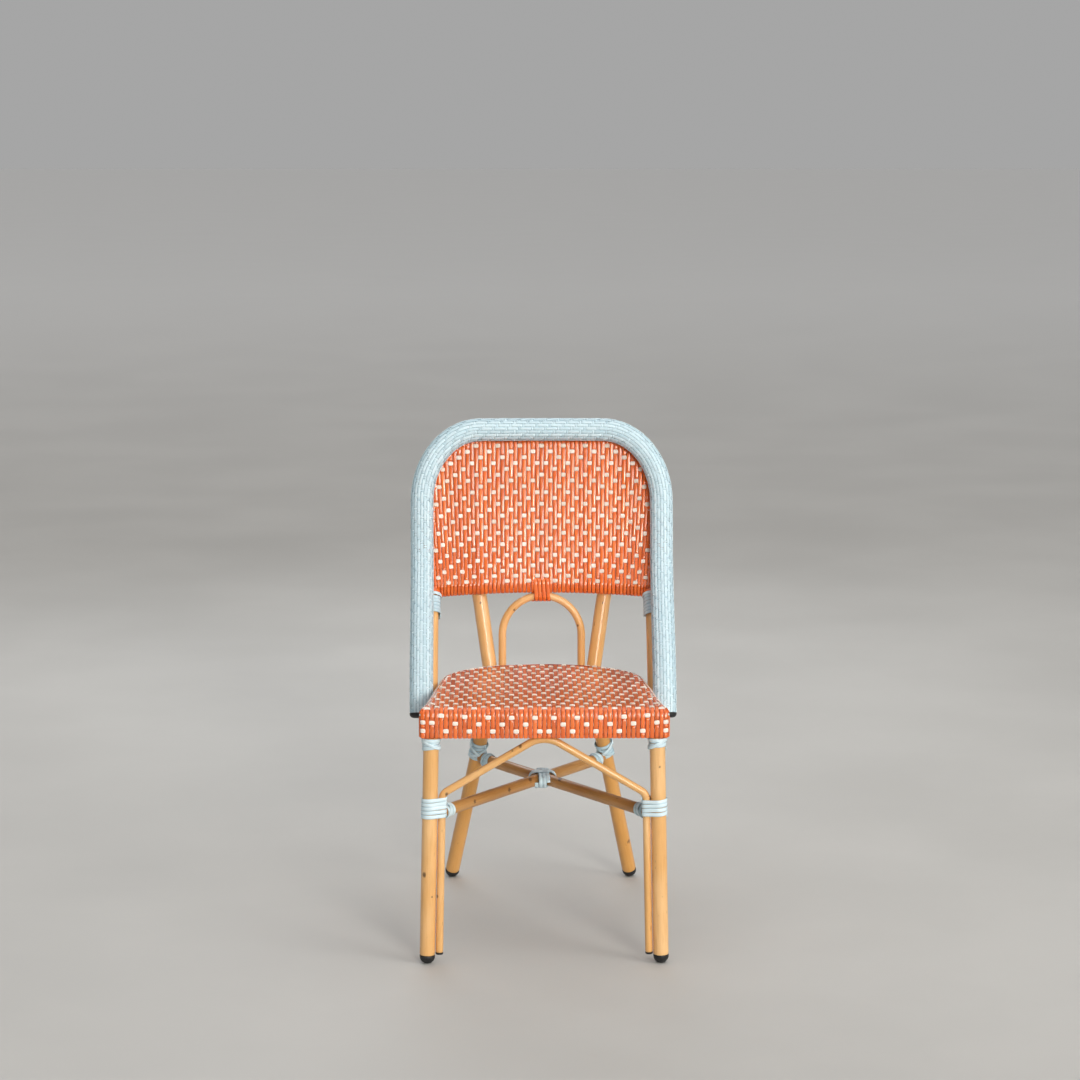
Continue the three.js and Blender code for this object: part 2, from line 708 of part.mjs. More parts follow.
// Crossing lashing: turns from the front notch to the rear one, and a band from side to side over them
function crossingLashings() {
  const bandHalf = (turns.crossing * strandPitch + strandWidth) / 2;
  const frontReach = poleRadius / Math.sin(crossAngle) + bandHalf / Math.tan(crossAngle);
  const sideReach = poleRadius / Math.cos(crossAngle) + bandHalf * Math.tan(crossAngle);
  const flatRadius = poleRadius * flatShare(facets.thin);
  const outerRadius = flatRadius + strandThickness + fitGap;
  const inner = [-1, 1].map((end) => ({ x: end * (frontReach - poleRadius), y: 0, radius: flatRadius }));
  const outer = [-1, 1].map((end) => ({ x: end * (sideReach - poleRadius), y: 0, radius: outerRadius }));
  const foreAft = placing(crossing, sideways, point(0, 1, 0));
  const crosswise = placing(crossing, point(0, 1, 0), sideways);
  const blue = finishes.blueWeave;
  lashing("crossing_lashing_inner", foreAft, inner, turns.crossing, strandPitch, blue);
  lashing("crossing_lashing_outer", crosswise, outer, turns.crossing, strandPitch, blue);
}

// Back frame, with its lower rail coped between its legs
const railHalf = (() => {
  const near = framePlaces.filter((place) => place.x > 0 && place.y < hoopTop - hoopCornerHeight);
  const above = near.findLast((place) => place.y >= railHeight);
  return above.x;
})();
const railStations = (() => {
  const stations = [];
  for (let step = 0; step <= bends.rail; step += 1) {
    const share = (2 * step) / bends.rail - 1;
    const x = share * railHalf;
    const setback = THREE.MathUtils.lerp(railSetback, frameSetback, Math.abs(share) ** railBlendPower);
    stations.push(onBack(x, railHeight, setback));
  }
  return stations;
})();

const railTube = (growth = 0) =>
  roundTube(
    railDiameter / 2 + growth,
    growth > 0 ? 0 : railWall,
    facets.thin,
    railStations,
    upward,
  );

// Arch below the back, from the rear of the seat to the hem of the weave
const archTop = panelBottom - archDrop - archRadius;
const archDepthAt = (() => {
  const low = restBehind(archHalfSpan, archRadius);
  const high = onBack(0, panelBottom, railSetback).y;
  return (z) => THREE.MathUtils.mapLinear(z, seatBottom, archTop, low, high);
})();
const archStations = (() => {
  const bend = archTop - archHalfSpan;
  const right = [point(archHalfSpan, archDepthAt(seatBottom + archEndLift), seatBottom + archEndLift)];
  for (let step = 0; step < bends.arch; step += 1) {
    const angle = ((Math.PI / 2) * step) / bends.arch;
    const z = bend + archHalfSpan * Math.sin(angle);
    right.push(point(archHalfSpan * Math.cos(angle), archDepthAt(z), z));
  }
  return [...right, point(0, archDepthAt(archTop), archTop), ...mirrored(right).reverse()];
})();

function archRod() {
  const rod = roundTube(archRadius, archWall, facets.thin, archStations, point(0, 1, 0));
  addPiece("arch_rod", rod, finishes.pole);
}

const bindingPlace = (() => {
  const rail = onBack(0, railHeight, railSetback);
  return placing(rail, sideways, upward);
})();
const bindingHalf = (turns.arch * railStrandPitch + strandWidth) / 2;
const bindingCircles = (() => {
  const rail = onBack(0, railHeight, railSetback);
  const local = point(0, archDepthAt(archTop), archTop).sub(rail);
  const archFall = archHalfSpan - Math.sqrt(archHalfSpan ** 2 - bindingHalf ** 2);
  return [
    { x: 0, y: 0, radius: hemRadius + fitGap },
    { x: local.z, y: -local.y, radius: archRadius + archFall + fitGap },
  ];
})();

// Woven back: a sheet in front of the frame, wrapped round the frame and the lower rail
function backSheet() {
  const outer = frameSetback - sleeveRadius;
  const inner = outer + skinThickness;
  const right = framePlaces.filter((place) => place.x > 0 && place.y > railHeight);
  const climbing = right.slice(0, -1).sort((a, b) => a.y - b.y);
  const rows = [new THREE.Vector2(railHalf, railHeight), ...climbing];
  const columns = facets.sheet;
  const corners = [];
  const indices = [];
  const rowSize = columns + 1;
  for (const setback of [outer, inner]) {
    for (const row of rows) {
      for (let column = 0; column <= columns; column += 1) {
        const x = row.x * ((2 * column) / columns - 1);
        corners.push(...onBack(x, row.y, setback).toArray());
      }
    }
  }
  const at = (layer, row, column) => (layer * rows.length + row) * rowSize + column;
  const quad = (a, b, c, d) => indices.push(a, b, c, a, c, d);
  for (let row = 0; row < rows.length - 1; row += 1) {
    for (let column = 0; column < columns; column += 1) {
      quad(at(0, row, column), at(0, row, column + 1), at(0, row + 1, column + 1), at(0, row + 1, column));
      quad(at(1, row, column), at(1, row + 1, column), at(1, row + 1, column + 1), at(1, row, column + 1));
    }
    quad(at(0, row, 0), at(0, row + 1, 0), at(1, row + 1, 0), at(1, row, 0));
    quad(at(0, row, columns), at(1, row, columns), at(1, row + 1, columns), at(0, row + 1, columns));
  }
  const last = rows.length - 1;
  for (let column = 0; column < columns; column += 1) {
    quad(at(0, 0, column), at(1, 0, column), at(1, 0, column + 1), at(0, 0, column + 1));
    quad(at(0, last, column), at(0, last, column + 1), at(1, last, column + 1), at(1, last, column));
  }
  const sheet = new THREE.BufferGeometry();
  sheet.setAttribute("position", new THREE.Float32BufferAttribute(corners, 3));
  sheet.setIndex(indices);
  return sheet;
}

function backWeave() {
  const sleevePlaces = framePlaces.filter((place) => place.y > railHeight);
  const sleeveEnds = [-railHalf, railHalf].map((x) => new THREE.Vector2(x, panelBottom));
  const places = [sleeveEnds[0], ...sleevePlaces, sleeveEnds[1]];
  const stations = drape(places, () => frameSetback);
  const sleeve = roundTube(sleeveRadius, 0, facets.thin, stations, facingOn(places));
  const hem = roundTube(hemRadius, 0, facets.thin, railStations, upward);
  const whole = join(backSheet(), sleeve, hem);
  const posts = [rearLegStations, mirrored(rearLegStations)].map((way) => legTube(way, fitGap));
  const bindingOuter = lashingBlock(bindingPlace, bindingCircles, lashingGrowth, bindingHalf + fitGap);
  const bindingInner = lashingBlock(bindingPlace, bindingCircles, 0, 2 * bindingHalf);
  const slot = cut(bindingOuter, bindingInner);
  const woven = cut(whole, frameTube(fitGap), railTube(fitGap), ...posts, slot);
  addPiece("back_weave", woven, finishes.orangeWeave);
}

function backFrame() {
  addPiece("back_frame", frameTube(), finishes.pole);
  addPiece("back_lower_rail", cut(railTube(), frameTube(fitGap)), finishes.metal);
}

// Hoop
function hoop() {
  const facing = facingOn(hoopPlaces);
  const inset = skinThickness + fitGap;
  const [semiX, semiY] = [hoopThickness / 2, hoopWidth / 2];
  const core = tubeSection(semiX - inset, semiY - inset, hoopCoreWall, facets.hoop);
  addPiece("hoop_core", sweep(core, hoopStations, facing), finishes.metal);
  const cover = tubeSection(semiX, semiY, skinThickness, facets.hoop);
  addPiece("hoop_cover", sweep(cover, hoopStations, facing), finishes.blueWeave);
}

function hoopPlug(name, atEnd) {
  const end = atEnd ? hoopStations.at(-1) : hoopStations[0];
  const inner = atEnd ? hoopStations.at(-2) : hoopStations[1];
  const place = atEnd ? hoopPlaces.at(-1) : hoopPlaces[0];
  const way = end.clone().sub(inner).normalize();
  const facing = backNormal(place.x, place.y);
  const margin = skinThickness + fitGap + hoopCoreWall + fitGap;
  const grip = flatShare(facets.hoop);
  const level = (semiX, semiY, reach) => ({ semiX, semiY, reach });
  const semiX = hoopThickness / 2;
  const semiY = hoopWidth / 2;
  const head = [
    level(semiX, semiY, fitGap),
    level(semiX, semiY, plugHeight - plugEdge),
    level(semiX - plugEdge, semiY - plugEdge, plugHeight),
  ];
  const body = loft(head, end, way, facing);
  const stemSemiX = (semiX - margin) * grip;
  const stemSemiY = (semiY - margin) * grip;
  const stem = loft(
    [level(stemSemiX, stemSemiY, -plugStem), level(stemSemiX, stemSemiY, plugHeight / 2)],
    end,
    way,
    facing,
  );
  addPiece(name, join(body, stem), finishes.plastic);
}

// Oval levels stacked along a direction, closed at both ends
function loft(levels, origin, way, facing) {
  const normal = facing.clone().addScaledVector(way, -facing.dot(way)).normalize();
  const binormal = way.clone().cross(normal);
  const sides = facets.hoop;
  const corners = [];
  const indices = [];
  levels.forEach((level) => {
    for (const corner of ovalPoints(level.semiX, level.semiY, sides)) {
      const place = origin.clone().addScaledVector(way, level.reach);
      place.addScaledVector(normal, corner.x).addScaledVector(binormal, corner.y);
      corners.push(...place.toArray());
    }
  });
  for (const level of [levels[0], levels.at(-1)]) {
    corners.push(...origin.clone().addScaledVector(way, level.reach).toArray());
  }
  const first = levels.length * sides;
  const lastRing = (levels.length - 1) * sides;
  for (let side = 0; side < sides; side += 1) {
    const next = (side + 1) % sides;
    for (let ring = 0; ring < lastRing; ring += sides) {
      const [a, b, c, d] = [ring + side, ring + next, ring + sides + next, ring + sides + side];
      indices.push(a, b, c, a, c, d);
    }
    indices.push(first, next, side, first + 1, lastRing + side, lastRing + next);
  }
  const solid = new THREE.BufferGeometry();
  solid.setAttribute("position", new THREE.Float32BufferAttribute(corners, 3));
  solid.setIndex(indices);
  solid.computeVertexNormals();
  return solid;
}

// Lashings on the back
function cornerLashing(name, side) {
  const high = panelBottom - cornerLashingDrop;
  const low = high - turns.corner * strandPitch;
  const legUp = frameStations.filter((station) => station.x > 0 && station.z <= sweepTop).reverse();
  const at = (z) => {
    const next = legUp.findIndex((station) => station.z > z);
    const share = (z - legUp[next - 1].z) / (legUp[next].z - legUp[next - 1].z);
    return legUp[next - 1].clone().lerp(legUp[next], share);
  };
  const axis = new THREE.Line3(at(low), at(high));
  const between = legUp.filter((station) => station.z > low && station.z < high);
  const strayOf = (station) => station.distanceTo(axis.closestPointToPoint(station, true, point()));
  const strays = between.map(strayOf);
  const circle = { x: 0, y: 0, radius: frameRadius + Math.max(0, ...strays) };
  const way = handed(side, axis.delta(point())).normalize();
  const place = placing(handed(side, axis.getCenter(point())), way, sideways);
  lashing(name, place, [circle], turns.corner, strandPitch, finishes.blueWeave);
}

function archBinding() {
  const finish = finishes.orangeWeave;
  lashing("arch_binding", bindingPlace, bindingCircles, turns.arch, railStrandPitch, finish);
}

// The whole chair
frontLeg("front_leg_left", mirrored(frontLegStations));
frontLeg("front_leg_right", frontLegStations);
rearLeg("rear_leg_left", mirrored(rearLegStations));
rearLeg("rear_leg_right", rearLegStations);
for (const [side, label] of [[-1, "left"], [1, "right"]]) {
  foot(`front_foot_${label}`, handed(side, frontFootCentre), handed(side, frontLegWay));
  foot(`rear_foot_${label}`, handed(side, rearFootCentre), handed(side, rearLegWay));
  braceCap(`brace_cap_${label}`, handed(side, braceFoot), handed(side, frontLegWay));
  legLashings(side, label);
  poleLashings(side, label);
  cornerLashing(`corner_lashing_${label}`, side);
}
frontBrace();
stretchers();
crossingLashings();
seatRings();
crossbar("seat_crossbar_front", seatDepth * crossbarDepthShares.front);
crossbar("seat_crossbar_rear", seatDepth * crossbarDepthShares.rear);
seatWeave();
backFrame();
backWeave();
archRod();
archBinding();
hoop();
hoopPlug("hoop_plug_left", false);
hoopPlug("hoop_plug_right", true);

// The origin is on the floor, below the middle of the whole
const bounds = new THREE.Box3().setFromObject(chair);
const centre = bounds.getCenter(point(0, 0, 0));
chair.position.set(-centre.x, -centre.y, 0);

export default chair;
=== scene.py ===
import math

import bpy
import numpy as np
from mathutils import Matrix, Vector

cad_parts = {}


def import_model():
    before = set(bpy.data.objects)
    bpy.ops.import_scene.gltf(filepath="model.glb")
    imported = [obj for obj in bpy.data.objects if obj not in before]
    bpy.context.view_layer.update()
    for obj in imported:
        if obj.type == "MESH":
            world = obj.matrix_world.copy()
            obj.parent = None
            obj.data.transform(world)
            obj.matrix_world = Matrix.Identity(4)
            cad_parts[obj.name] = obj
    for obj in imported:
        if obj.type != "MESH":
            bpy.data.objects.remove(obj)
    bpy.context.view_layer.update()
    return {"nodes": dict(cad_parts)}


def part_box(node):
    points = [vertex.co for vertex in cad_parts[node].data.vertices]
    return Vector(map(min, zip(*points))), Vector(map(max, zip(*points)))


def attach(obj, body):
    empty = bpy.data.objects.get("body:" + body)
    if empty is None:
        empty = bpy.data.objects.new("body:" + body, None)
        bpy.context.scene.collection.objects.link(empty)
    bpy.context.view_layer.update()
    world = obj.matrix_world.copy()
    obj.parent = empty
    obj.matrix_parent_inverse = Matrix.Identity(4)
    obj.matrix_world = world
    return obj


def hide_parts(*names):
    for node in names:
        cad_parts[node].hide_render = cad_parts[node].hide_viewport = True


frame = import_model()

# Looks of the rattan bistro chair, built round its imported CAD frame.
# Routes and sizes are millimetres from the floor and from the seat's front edge, as in the
# part's source. Skin.build turns them into the frame's metres.
MM = 0.001
SEAT_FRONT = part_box("seat_weave")[0].y
SIDES = ((-1, "left"), (1, "right"))
draws = np.random.default_rng(7)

# Seat
SEAT_TOP = 450.0
SEAT_BOTTOM = 400.0
SEAT_FRONT_HALF = 210.0
SEAT_REAR_HALF = 182.0
SEAT_SIDE_LENGTH = 272.0
SEAT_DEPTH = 400.0
SEAT_CORNER_RADIUS = 30.0
SEAT_REAR_ROUND = (0.25, 0.27)
WEAVE_FRONT_HALF = 214.4
WEAVE_CORNER_RADIUS = 8.0
WEAVE_SHOULDER = 60.0
WEAVE_SHOULDER_RADIUS = 150.0
TOP_EDGE = 11.0
EDGE_RISE = 18.0
BOTTOM_EDGE = 5.0
HEM_DROP = 3.5
HEM_LIP = 10.2
HEM_REACH = 21.0
HEM_STRAND_INSET = 19.0
HEM_STRAND = (6.5, 1.2)
UPRIGHT = (402.0, 446.0)
RIM_INSET = 5.0
RIM_RADIUS = 10.8
RIM_HALF_ANGLE = 36
ROW_WRAP_RADIUS = 11.5
REAR_DIVE = ((9, 1.35), (4, 2.4), (0, 5.2))
RING_DIAMETER = 21.85
UPPER_RING = 436.07
LOWER_RING = 413.93
RING_INSET = 13.93
CROSSBAR_DIAMETER = 16.0
CROSSBAR_DEPTHS = (136.0, 272.0)

# Legs and feet
LEG_RADIUS = 13.5
FRONT_LEG_TOP = (192.0, 18.0, 408.5)
FRONT_FOOT = (201.0, 18.0, 12.7)
REAR_FOOT = (169.0, 580.0, 12.7)
KINK = (90.5, 395.68, 410.0)
POST_BEND = (112.0, 422.28, 560.0)
POST_END = (162.26, 468.19, 828.64)
POST_RADII = (90.0, 160.0)
FOOT_COLLAR = 2.8

# Brace, stretchers and arch
BRACE_RADIUS = 6.75
BRACE_END = 19.5
BRACE_BEND = 298.0
BRACE_BEND_RADIUS = 18.0
BRACE_PEAK_RADIUS = 50.0
BRACE_STEP = LEG_RADIUS + BRACE_RADIUS + 0.3
STRETCHER_RADIUS = 10.5
STRETCHER_HEIGHT = 260.0
CROSSING_DEPTH = 294.96
ARCH_RADIUS = 6.75
ARCH_HALF = 71.98
ARCH_TOP = 573.75
ARCH_END = 406.0
ARCH_DEPTHS = (395.89, 407.67)

# Back surface, hoop and frame
PANEL_BOTTOM = 585.0
BACK_SLOPE = 0.242
BACK_BULGE = 12.0
SWEEP_TOP = 685.0
SWEEP_REACH = 154.0
HOOP_OVERHANG = 15.0
HOOP_TOP = 873.0
HOOP_END = 401.5
HOOP_HALF = 217.0
HOOP_END_HALF = 213.04
HOOP_CORNER = (105.0, 125.0)
HOOP_SEMI = (15.3, 21.0)
COVER_WIDER = 0.3
COVER_SHORT = 3.2
FRAME_INSET = 19.5
FRAME_DROP = 25.3
FRAME_END = 408.0
FRAME_END_HALF = 195.94
FRAME_TUCK = 5.0
FRAME_SETBACK = 24.04
FRAME_RADIUS = 10.0
SHEET_SETBACK = 12.39
RAIL_HEIGHT = 596.0
RAIL_SETBACK = 22.04
PANEL_TOP = 853.0
PANEL_WRAP_REACH = 110.0
FRAME_WRAP_START = (107.5, 583.0)
HEM_TURN = np.arange(235, 0, -15)
TOP_TURN = np.arange(15, 245, 15)

# Strands: sizes, and how far they rise and sink where they cross. MID is half the CAD skin.
MID = 1.35
FLOAT = 0.62
BOW = 0.9
PINCH = 0.17
DIP_EASE = 2.4
CORNER_DIP = 1.2
ORANGE_THICK = 1.3
ORANGE_WIDTH = 7.45
WHITE_THICK = 1.2
WHITE_WIDTH = 7.8
WHITE_RISE = 0.8
TOP_WHITE_THICK = 2.5
TOP_WHITE_WIDTH = 7.0
TOP_WHITE_CROSSING = {"rise": 1.4, "sink": 1.25, "ease": 1.6}
LASH_THICK = 1.5
LASH_WIDTH = 6.9
LASH_PITCH = 7.4
LEG_TOP_LASHING = (386.0, 393.2)
FRONT_LASHING = 275
REAR_LASHING = 277
CORNER_LASHING = (543.5, 581.0)
# How dark a strand's underside is painted, as painted shade
UNDERSIDE_PAINTED_SHADE = 0.84
STATION_GAP = 0.35

# Weave: white shows where a column and a row meet on the pattern
PATTERN_STEP = 5
PATTERN_RISE = 2
PATTERN_OFFSET = 1
CORNER_DOT = (26, 1)
CORNER_TOPS = {1: 75.0, 2: 62.0}
COLUMN_PITCH = 8.0
SEAT_PITCH = 7.94
FRONT_COLUMNS = 25
APRON_ROWS = (412.0, 423.9, 435.3)
ROW_SAG = 1.75
ROW_RISE = (1.3, 4.1, 6.6)
ROW_REACH = 206.0
EDGE_ROW = len(APRON_ROWS)
EDGE_ROW_INSET = 9.0
TOP_ROW_START = 3.6
TOP_ROW_PITCH = 12.56
TOP_ROWS = 31
PANEL_COLUMNS = range(-27, 28)
PANEL_ROWS = range(-1, 24)
PANEL_TAPER = 0.00125
PANEL_EVEN_ROW = 10
PANEL_EVEN_HEIGHT = 707.6
PANEL_PITCH = 10.4
PANEL_CLOSING = 0.15
PANEL_HEM_DROP = (6.5, 3.5)
HOOP_STRANDS = 18
HOOP_RING_PITCH = 8.0
HOOP_RING_WIDTH = 3.4
HOOP_RING_STEPS = 4
HOOP_PATTERN = 3

# Camera, in metres, millimetres of lens and degrees, as fitted to the photograph
CAMERA_PLACE = (-0.057, -5.108, 1.473)
CAMERA_LENS = 96.77
CAMERA_DOWN = 8.68
CAMERA_TURN = -0.59


# Points and routes
def point(x, y, z):
    return np.array([x, y, z], float)


UP = point(0, 0, 1)


def unit(vectors):
    return vectors / np.linalg.norm(vectors, axis=-1, keepdims=True)


def handed(side, places):
    """Places of the right side, or mirrored to the left."""
    return np.asarray(places, float) * (side, 1, 1)


def bent(corners, radii, steps=24):
    """A route through corners, each rounded to a radius."""
    route = [corners[0]]
    for before, corner, after, radius in zip(corners, corners[1:], corners[2:], radii):
        back, ahead = unit(before - corner), unit(after - corner)
        half = math.acos(float(np.clip(back @ ahead, -1, 1))) / 2
        centre = corner + unit(back + ahead) * radius / math.sin(half)
        start = corner + back * radius / math.tan(half) - centre
        end = corner + ahead * radius / math.tan(half) - centre
        swept_angle = math.pi - 2 * half
        for angle in np.linspace(0, swept_angle, steps + 1):
            spoke = start * math.sin(swept_angle - angle) + end * math.sin(angle)
            route.append(centre + spoke / math.sin(swept_angle))
    return np.array([*route, corners[-1]])


def along(route):
    return np.r_[0, np.cumsum(np.linalg.norm(np.diff(route, axis=0), axis=1))]


def read_at(values, lengths, places):
    """Rows of values, known at lengths, read at other places."""
    return np.stack([np.interp(places, lengths, column) for column in values.T], -1)


def at_lengths(route, places):
    return read_at(route, along(route), places)


def resampled(route, spacing):
    total = along(route)[-1]
    return at_lengths(route, np.linspace(0, total, max(3, int(round(total / spacing)) + 1)))


def refined(route, outward, spacing=4.0):
    """A route and its outward directions, with no long gaps between stations."""
    lengths = along(route)
    steps = np.unique(np.r_[lengths, np.arange(0, lengths[-1], spacing)])
    return at_lengths(route, steps), unit(read_at(outward, lengths, steps))


def tangents(route):
    return unit(np.gradient(route, axis=0))


def square_to(vectors, ways):
    """Directions nearest to vectors, and square to the ways."""
    vectors = np.broadcast_to(vectors, ways.shape)
    return unit(vectors - ways * np.sum(vectors * ways, axis=-1, keepdims=True))


# (outward, sideways) as shares of thickness and width, turning from outward to sideways
STRAND_SECTION = np.array([
    (0.5, 0.0), (0.44, 0.2), (0.26, 0.38), (-0.12, 0.5), (-0.5, 0.43),
    (-0.5, -0.43), (-0.12, -0.5), (0.26, -0.38), (0.44, -0.2),
])
STRAND_EDGE = np.abs(STRAND_SECTION[:, 1]) * 2


def round_section(sides):
    angles = 2 * math.pi * np.arange(sides) / sides
    return np.stack([np.cos(angles), np.sin(angles)], 1)


def swept(route, outward, ways, section):
    """The rings of a section (stations, corners, 2) of outward and sideways offsets."""
    side = np.cross(ways, outward)[:, None]
    return route[:, None] + outward[:, None] * section[..., :1] + side * section[..., 1:]


class Skin:
    """Gathers the swept strips of one piece, and what its material reads at each vertex."""

    def __init__(self):
        self.rows, self.quads, self.caps = [], [], []
        self.count = 0

    def strip(self, route, outward, section, tone=0.0, mark=0.0, ways=None):
        """Sweeps a section along a route. A route that closes on itself comes with its ways."""
        closed = ways is not None
        rings = swept(route, outward, ways if closed else tangents(route), section)
        shape = section.shape[:2]
        index = np.arange(shape[0] * shape[1]).reshape(shape) + self.count
        ahead = np.roll(index, -1, 1)
        quads = np.stack([index, ahead, np.roll(ahead, -1, 0), np.roll(index, -1, 0)], -1)
        if not closed:
            quads = quads[:-1]
            self.caps += [index[0][::-1], index[-1]]
        self.quads.append(quads.reshape(-1, 4))
        values = (along(route)[:, None], tone, mark)
        columns = [np.broadcast_to(value, shape)[..., None] for value in values]
        rows = np.concatenate([rings, section[..., 1:], section[..., :1], *columns], -1)
        self.rows.append(rows.reshape(-1, rows.shape[-1]))
        self.count += index.size

    def strand(self, route, outward, width, thick):
        """A crowned flat strand."""
        outward = square_to(outward, tangents(route))
        width = np.broadcast_to(width, len(route))[:, None]
        section = STRAND_SECTION[None] * np.stack([np.full_like(width, thick), width], -1)
        # Painted shade: the mark darkens the strand's underside and its edges
        mark = np.where(STRAND_SECTION[:, 0] < -0.4, UNDERSIDE_PAINTED_SHADE, STRAND_EDGE)
        self.strip(route, outward, section, draws.uniform(-1, 1), mark)

    def tube(self, route, facing, radius, sides, spots=(), tone=0.0):
        """A round pole with scorch marks. The radius may be a number for each station."""
        ways = tangents(route)
        outward = square_to(facing, ways)
        section = round_section(sides)[None] * np.broadcast_to(radius, len(route))[:, None, None]
        mark = scorched(swept(route, outward, ways, section), spots)
        self.strip(route, outward, section, tone, mark)

    def build(self, name, look, node=None, sharp=50):
        """Makes the piece. It replaces its node, whose name is the piece's less its last word."""
        finish, slot = look
        rows = np.concatenate(self.rows)
        rows[:, :6] *= MM
        rows[:, 1] += SEAT_FRONT
        quads = np.concatenate(self.quads)
        corners = np.concatenate([quads.ravel(), *self.caps])
        sizes = np.r_[np.full(len(quads), 4), [len(cap) for cap in self.caps]].astype(int)
        starts = np.r_[0, np.cumsum(sizes)[:-1]]
        mesh = bpy.data.meshes.new(name)
        mesh.vertices.add(len(rows))
        mesh.vertices.foreach_set("co", rows[:, :3].astype(np.float32).ravel())
        mesh.loops.add(len(corners))
        mesh.loops.foreach_set("vertex_index", corners.astype(np.int32))
        mesh.polygons.add(len(sizes))
        mesh.polygons.foreach_set("loop_start", starts.astype(np.int32))
        mesh.update(calc_edges=True)
        for label, kind, field, values in (
            ("grain", "FLOAT_VECTOR", "vector", rows[:, 3:6]),
            ("tone", "FLOAT", "value", rows[:, 6]),
            ("mark", "FLOAT", "value", rows[:, 7]),
        ):
            made = mesh.attributes.new(label, kind, "POINT")
            made.data.foreach_set(field, values.astype(np.float32).ravel())
        mesh.polygons.foreach_set("use_smooth", np.ones(len(sizes), bool))
        mesh.set_sharp_from_angle(angle=math.radians(sharp))
        mesh.materials.append(finish)
        piece = bpy.data.objects.new(name, mesh)
        bpy.context.scene.collection.objects.link(piece)
        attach(piece, "root")
        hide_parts(node or name.rpartition("_")[0])
        return piece


# Seat outline
def seat_half_outline(front_half, corner_radius):
    """The right half of an outline of the seat, from the front's middle to the rear's."""
    side_start = np.array([SEAT_FRONT_HALF, 0.0])
    side_end = np.array([SEAT_REAR_HALF, SEAT_SIDE_LENGTH])
    side = side_end - side_start
    shoulder = side_start + side * WEAVE_SHOULDER / SEAT_SIDE_LENGTH
    corners = [np.zeros(2), np.array([front_half, 0.0]), shoulder, side_end]
    front = bent(corners, [corner_radius, WEAVE_SHOULDER_RADIUS])
    side_share, rear_share = SEAT_REAR_ROUND
    control = side_end + side * side_share
    pull = np.array([2 * SEAT_REAR_HALF * rear_share, SEAT_DEPTH])
    t = np.linspace(0, 1, 65)[1:, None]
    rear = (1 - t) ** 3 * side_end + 3 * (1 - t) ** 2 * t * control
    rear = rear + 3 * (1 - t) * t ** 2 * pull + t ** 3 * np.array([0.0, SEAT_DEPTH])
    return np.concatenate([front, rear])


HALF_OUTLINE = seat_half_outline(WEAVE_FRONT_HALF, WEAVE_CORNER_RADIUS)
RING_OUTLINE = seat_half_outline(SEAT_FRONT_HALF + 0.01, SEAT_CORNER_RADIUS)
HALF_ROUND = along(HALF_OUTLINE)[-1]


def outline_at(distance, outline=HALF_OUTLINE):
    """Points and outward directions of the outline, at distances round from its front."""
    distance = np.atleast_1d(distance)
    side = np.where(distance < 0, -1.0, 1.0)
    step = 0.5
    reach = np.clip(np.abs(distance), step, along(outline)[-1] - step)
    way = unit(at_lengths(outline, reach + step) - at_lengths(outline, reach - step))
    places = at_lengths(outline, np.abs(distance)) * np.stack([side, np.ones_like(side)], 1)
    return places, np.stack([way[:, 1] * side, -way[:, 0]], 1)


def set_in(places, out, inset, heights):
    """A route at heights, set in from places on the outline."""
    return np.column_stack([places - out * inset, np.broadcast_to(heights, len(places))])


def beyond_widest(outline):
    return outline[int(np.argmax(outline[:, 0])):]


def rear_limit(x, inset):
    """Depth of the rear outline, set in by a distance, at a distance from the middle."""
    places, out = outline_at(np.linspace(0, HALF_ROUND, 1200))
    rear = beyond_widest(places - out * inset)[::-1]
    return np.interp(x, rear[:, 0], rear[:, 1])


def seat_half_width(depth):
    side = beyond_widest(HALF_OUTLINE)
    return float(np.interp(depth, side[:, 1], side[:, 0]))


# Weave
def is_dot(column, row):
    return (abs(column) + PATTERN_RISE * row) % PATTERN_STEP == PATTERN_OFFSET


def dip_share(gap, half, ease):
    """1 within half of a crossing, easing to 0."""
    share = np.clip((gap - half) / ease, 0, 1)
    return 0.5 + 0.5 * np.cos(math.pi * share)


def dip_stations(total, places, half, spacing, ease):
    """Stations along a strand, close together where it passes to the other side."""
    offsets = np.array([half * 0.55, half, half + ease / 2, half + ease])
    offsets = np.r_[-offsets, 0, offsets]
    near = (np.asarray(places, float).reshape(-1, 1) + offsets).ravel()
    even = np.linspace(0, total, max(3, int(total / spacing) + 1))
    stations = np.sort(np.r_[near, even])
    stations = stations[(stations >= 0) & (stations <= total)]
    return stations[np.r_[True, np.diff(stations) > STATION_GAP]]


def bow_between(lengths, places, half):
    """The small outward bow of a strand between two crossings."""
    bow = np.zeros_like(lengths)
    end = half + DIP_EASE
    for low, high in zip(places, places[1:]):
        share = np.clip((lengths - low - end) / (high - low - 2 * end), 0, 1)
        bow += 4 * share * (1 - share)
    return bow


def weave_strand(skin, route, outward, places, half, over, width, thick, spacing=5.0,
                 bow=0.0, rise=FLOAT, sink=FLOAT, ease=DIP_EASE, pinch=0.0):
    """A strand that lies to one side (over = 1 or -1), and passes to the other at places."""
    lengths = along(route)
    stations = dip_stations(lengths[-1], places, half, spacing, ease)
    centre = at_lengths(route, stations)
    normals = unit(read_at(outward, lengths, stations))
    height = np.full(len(stations), sink) + bow * bow_between(stations, places, half)
    if np.ndim(width):
        width = np.interp(stations, lengths, width)
    if len(places):
        gap = np.abs(stations[:, None] - np.asarray(places)[None]).min(axis=1)
        height -= (sink + rise) * dip_share(gap, half, ease)
        width = width * (1 - pinch * np.exp(-((gap - half - ease / 2) / 2.0) ** 2))
    lift = square_to(normals, tangents(centre)) * over * height[:, None]
    skin.strand(centre + lift, normals, width, thick)


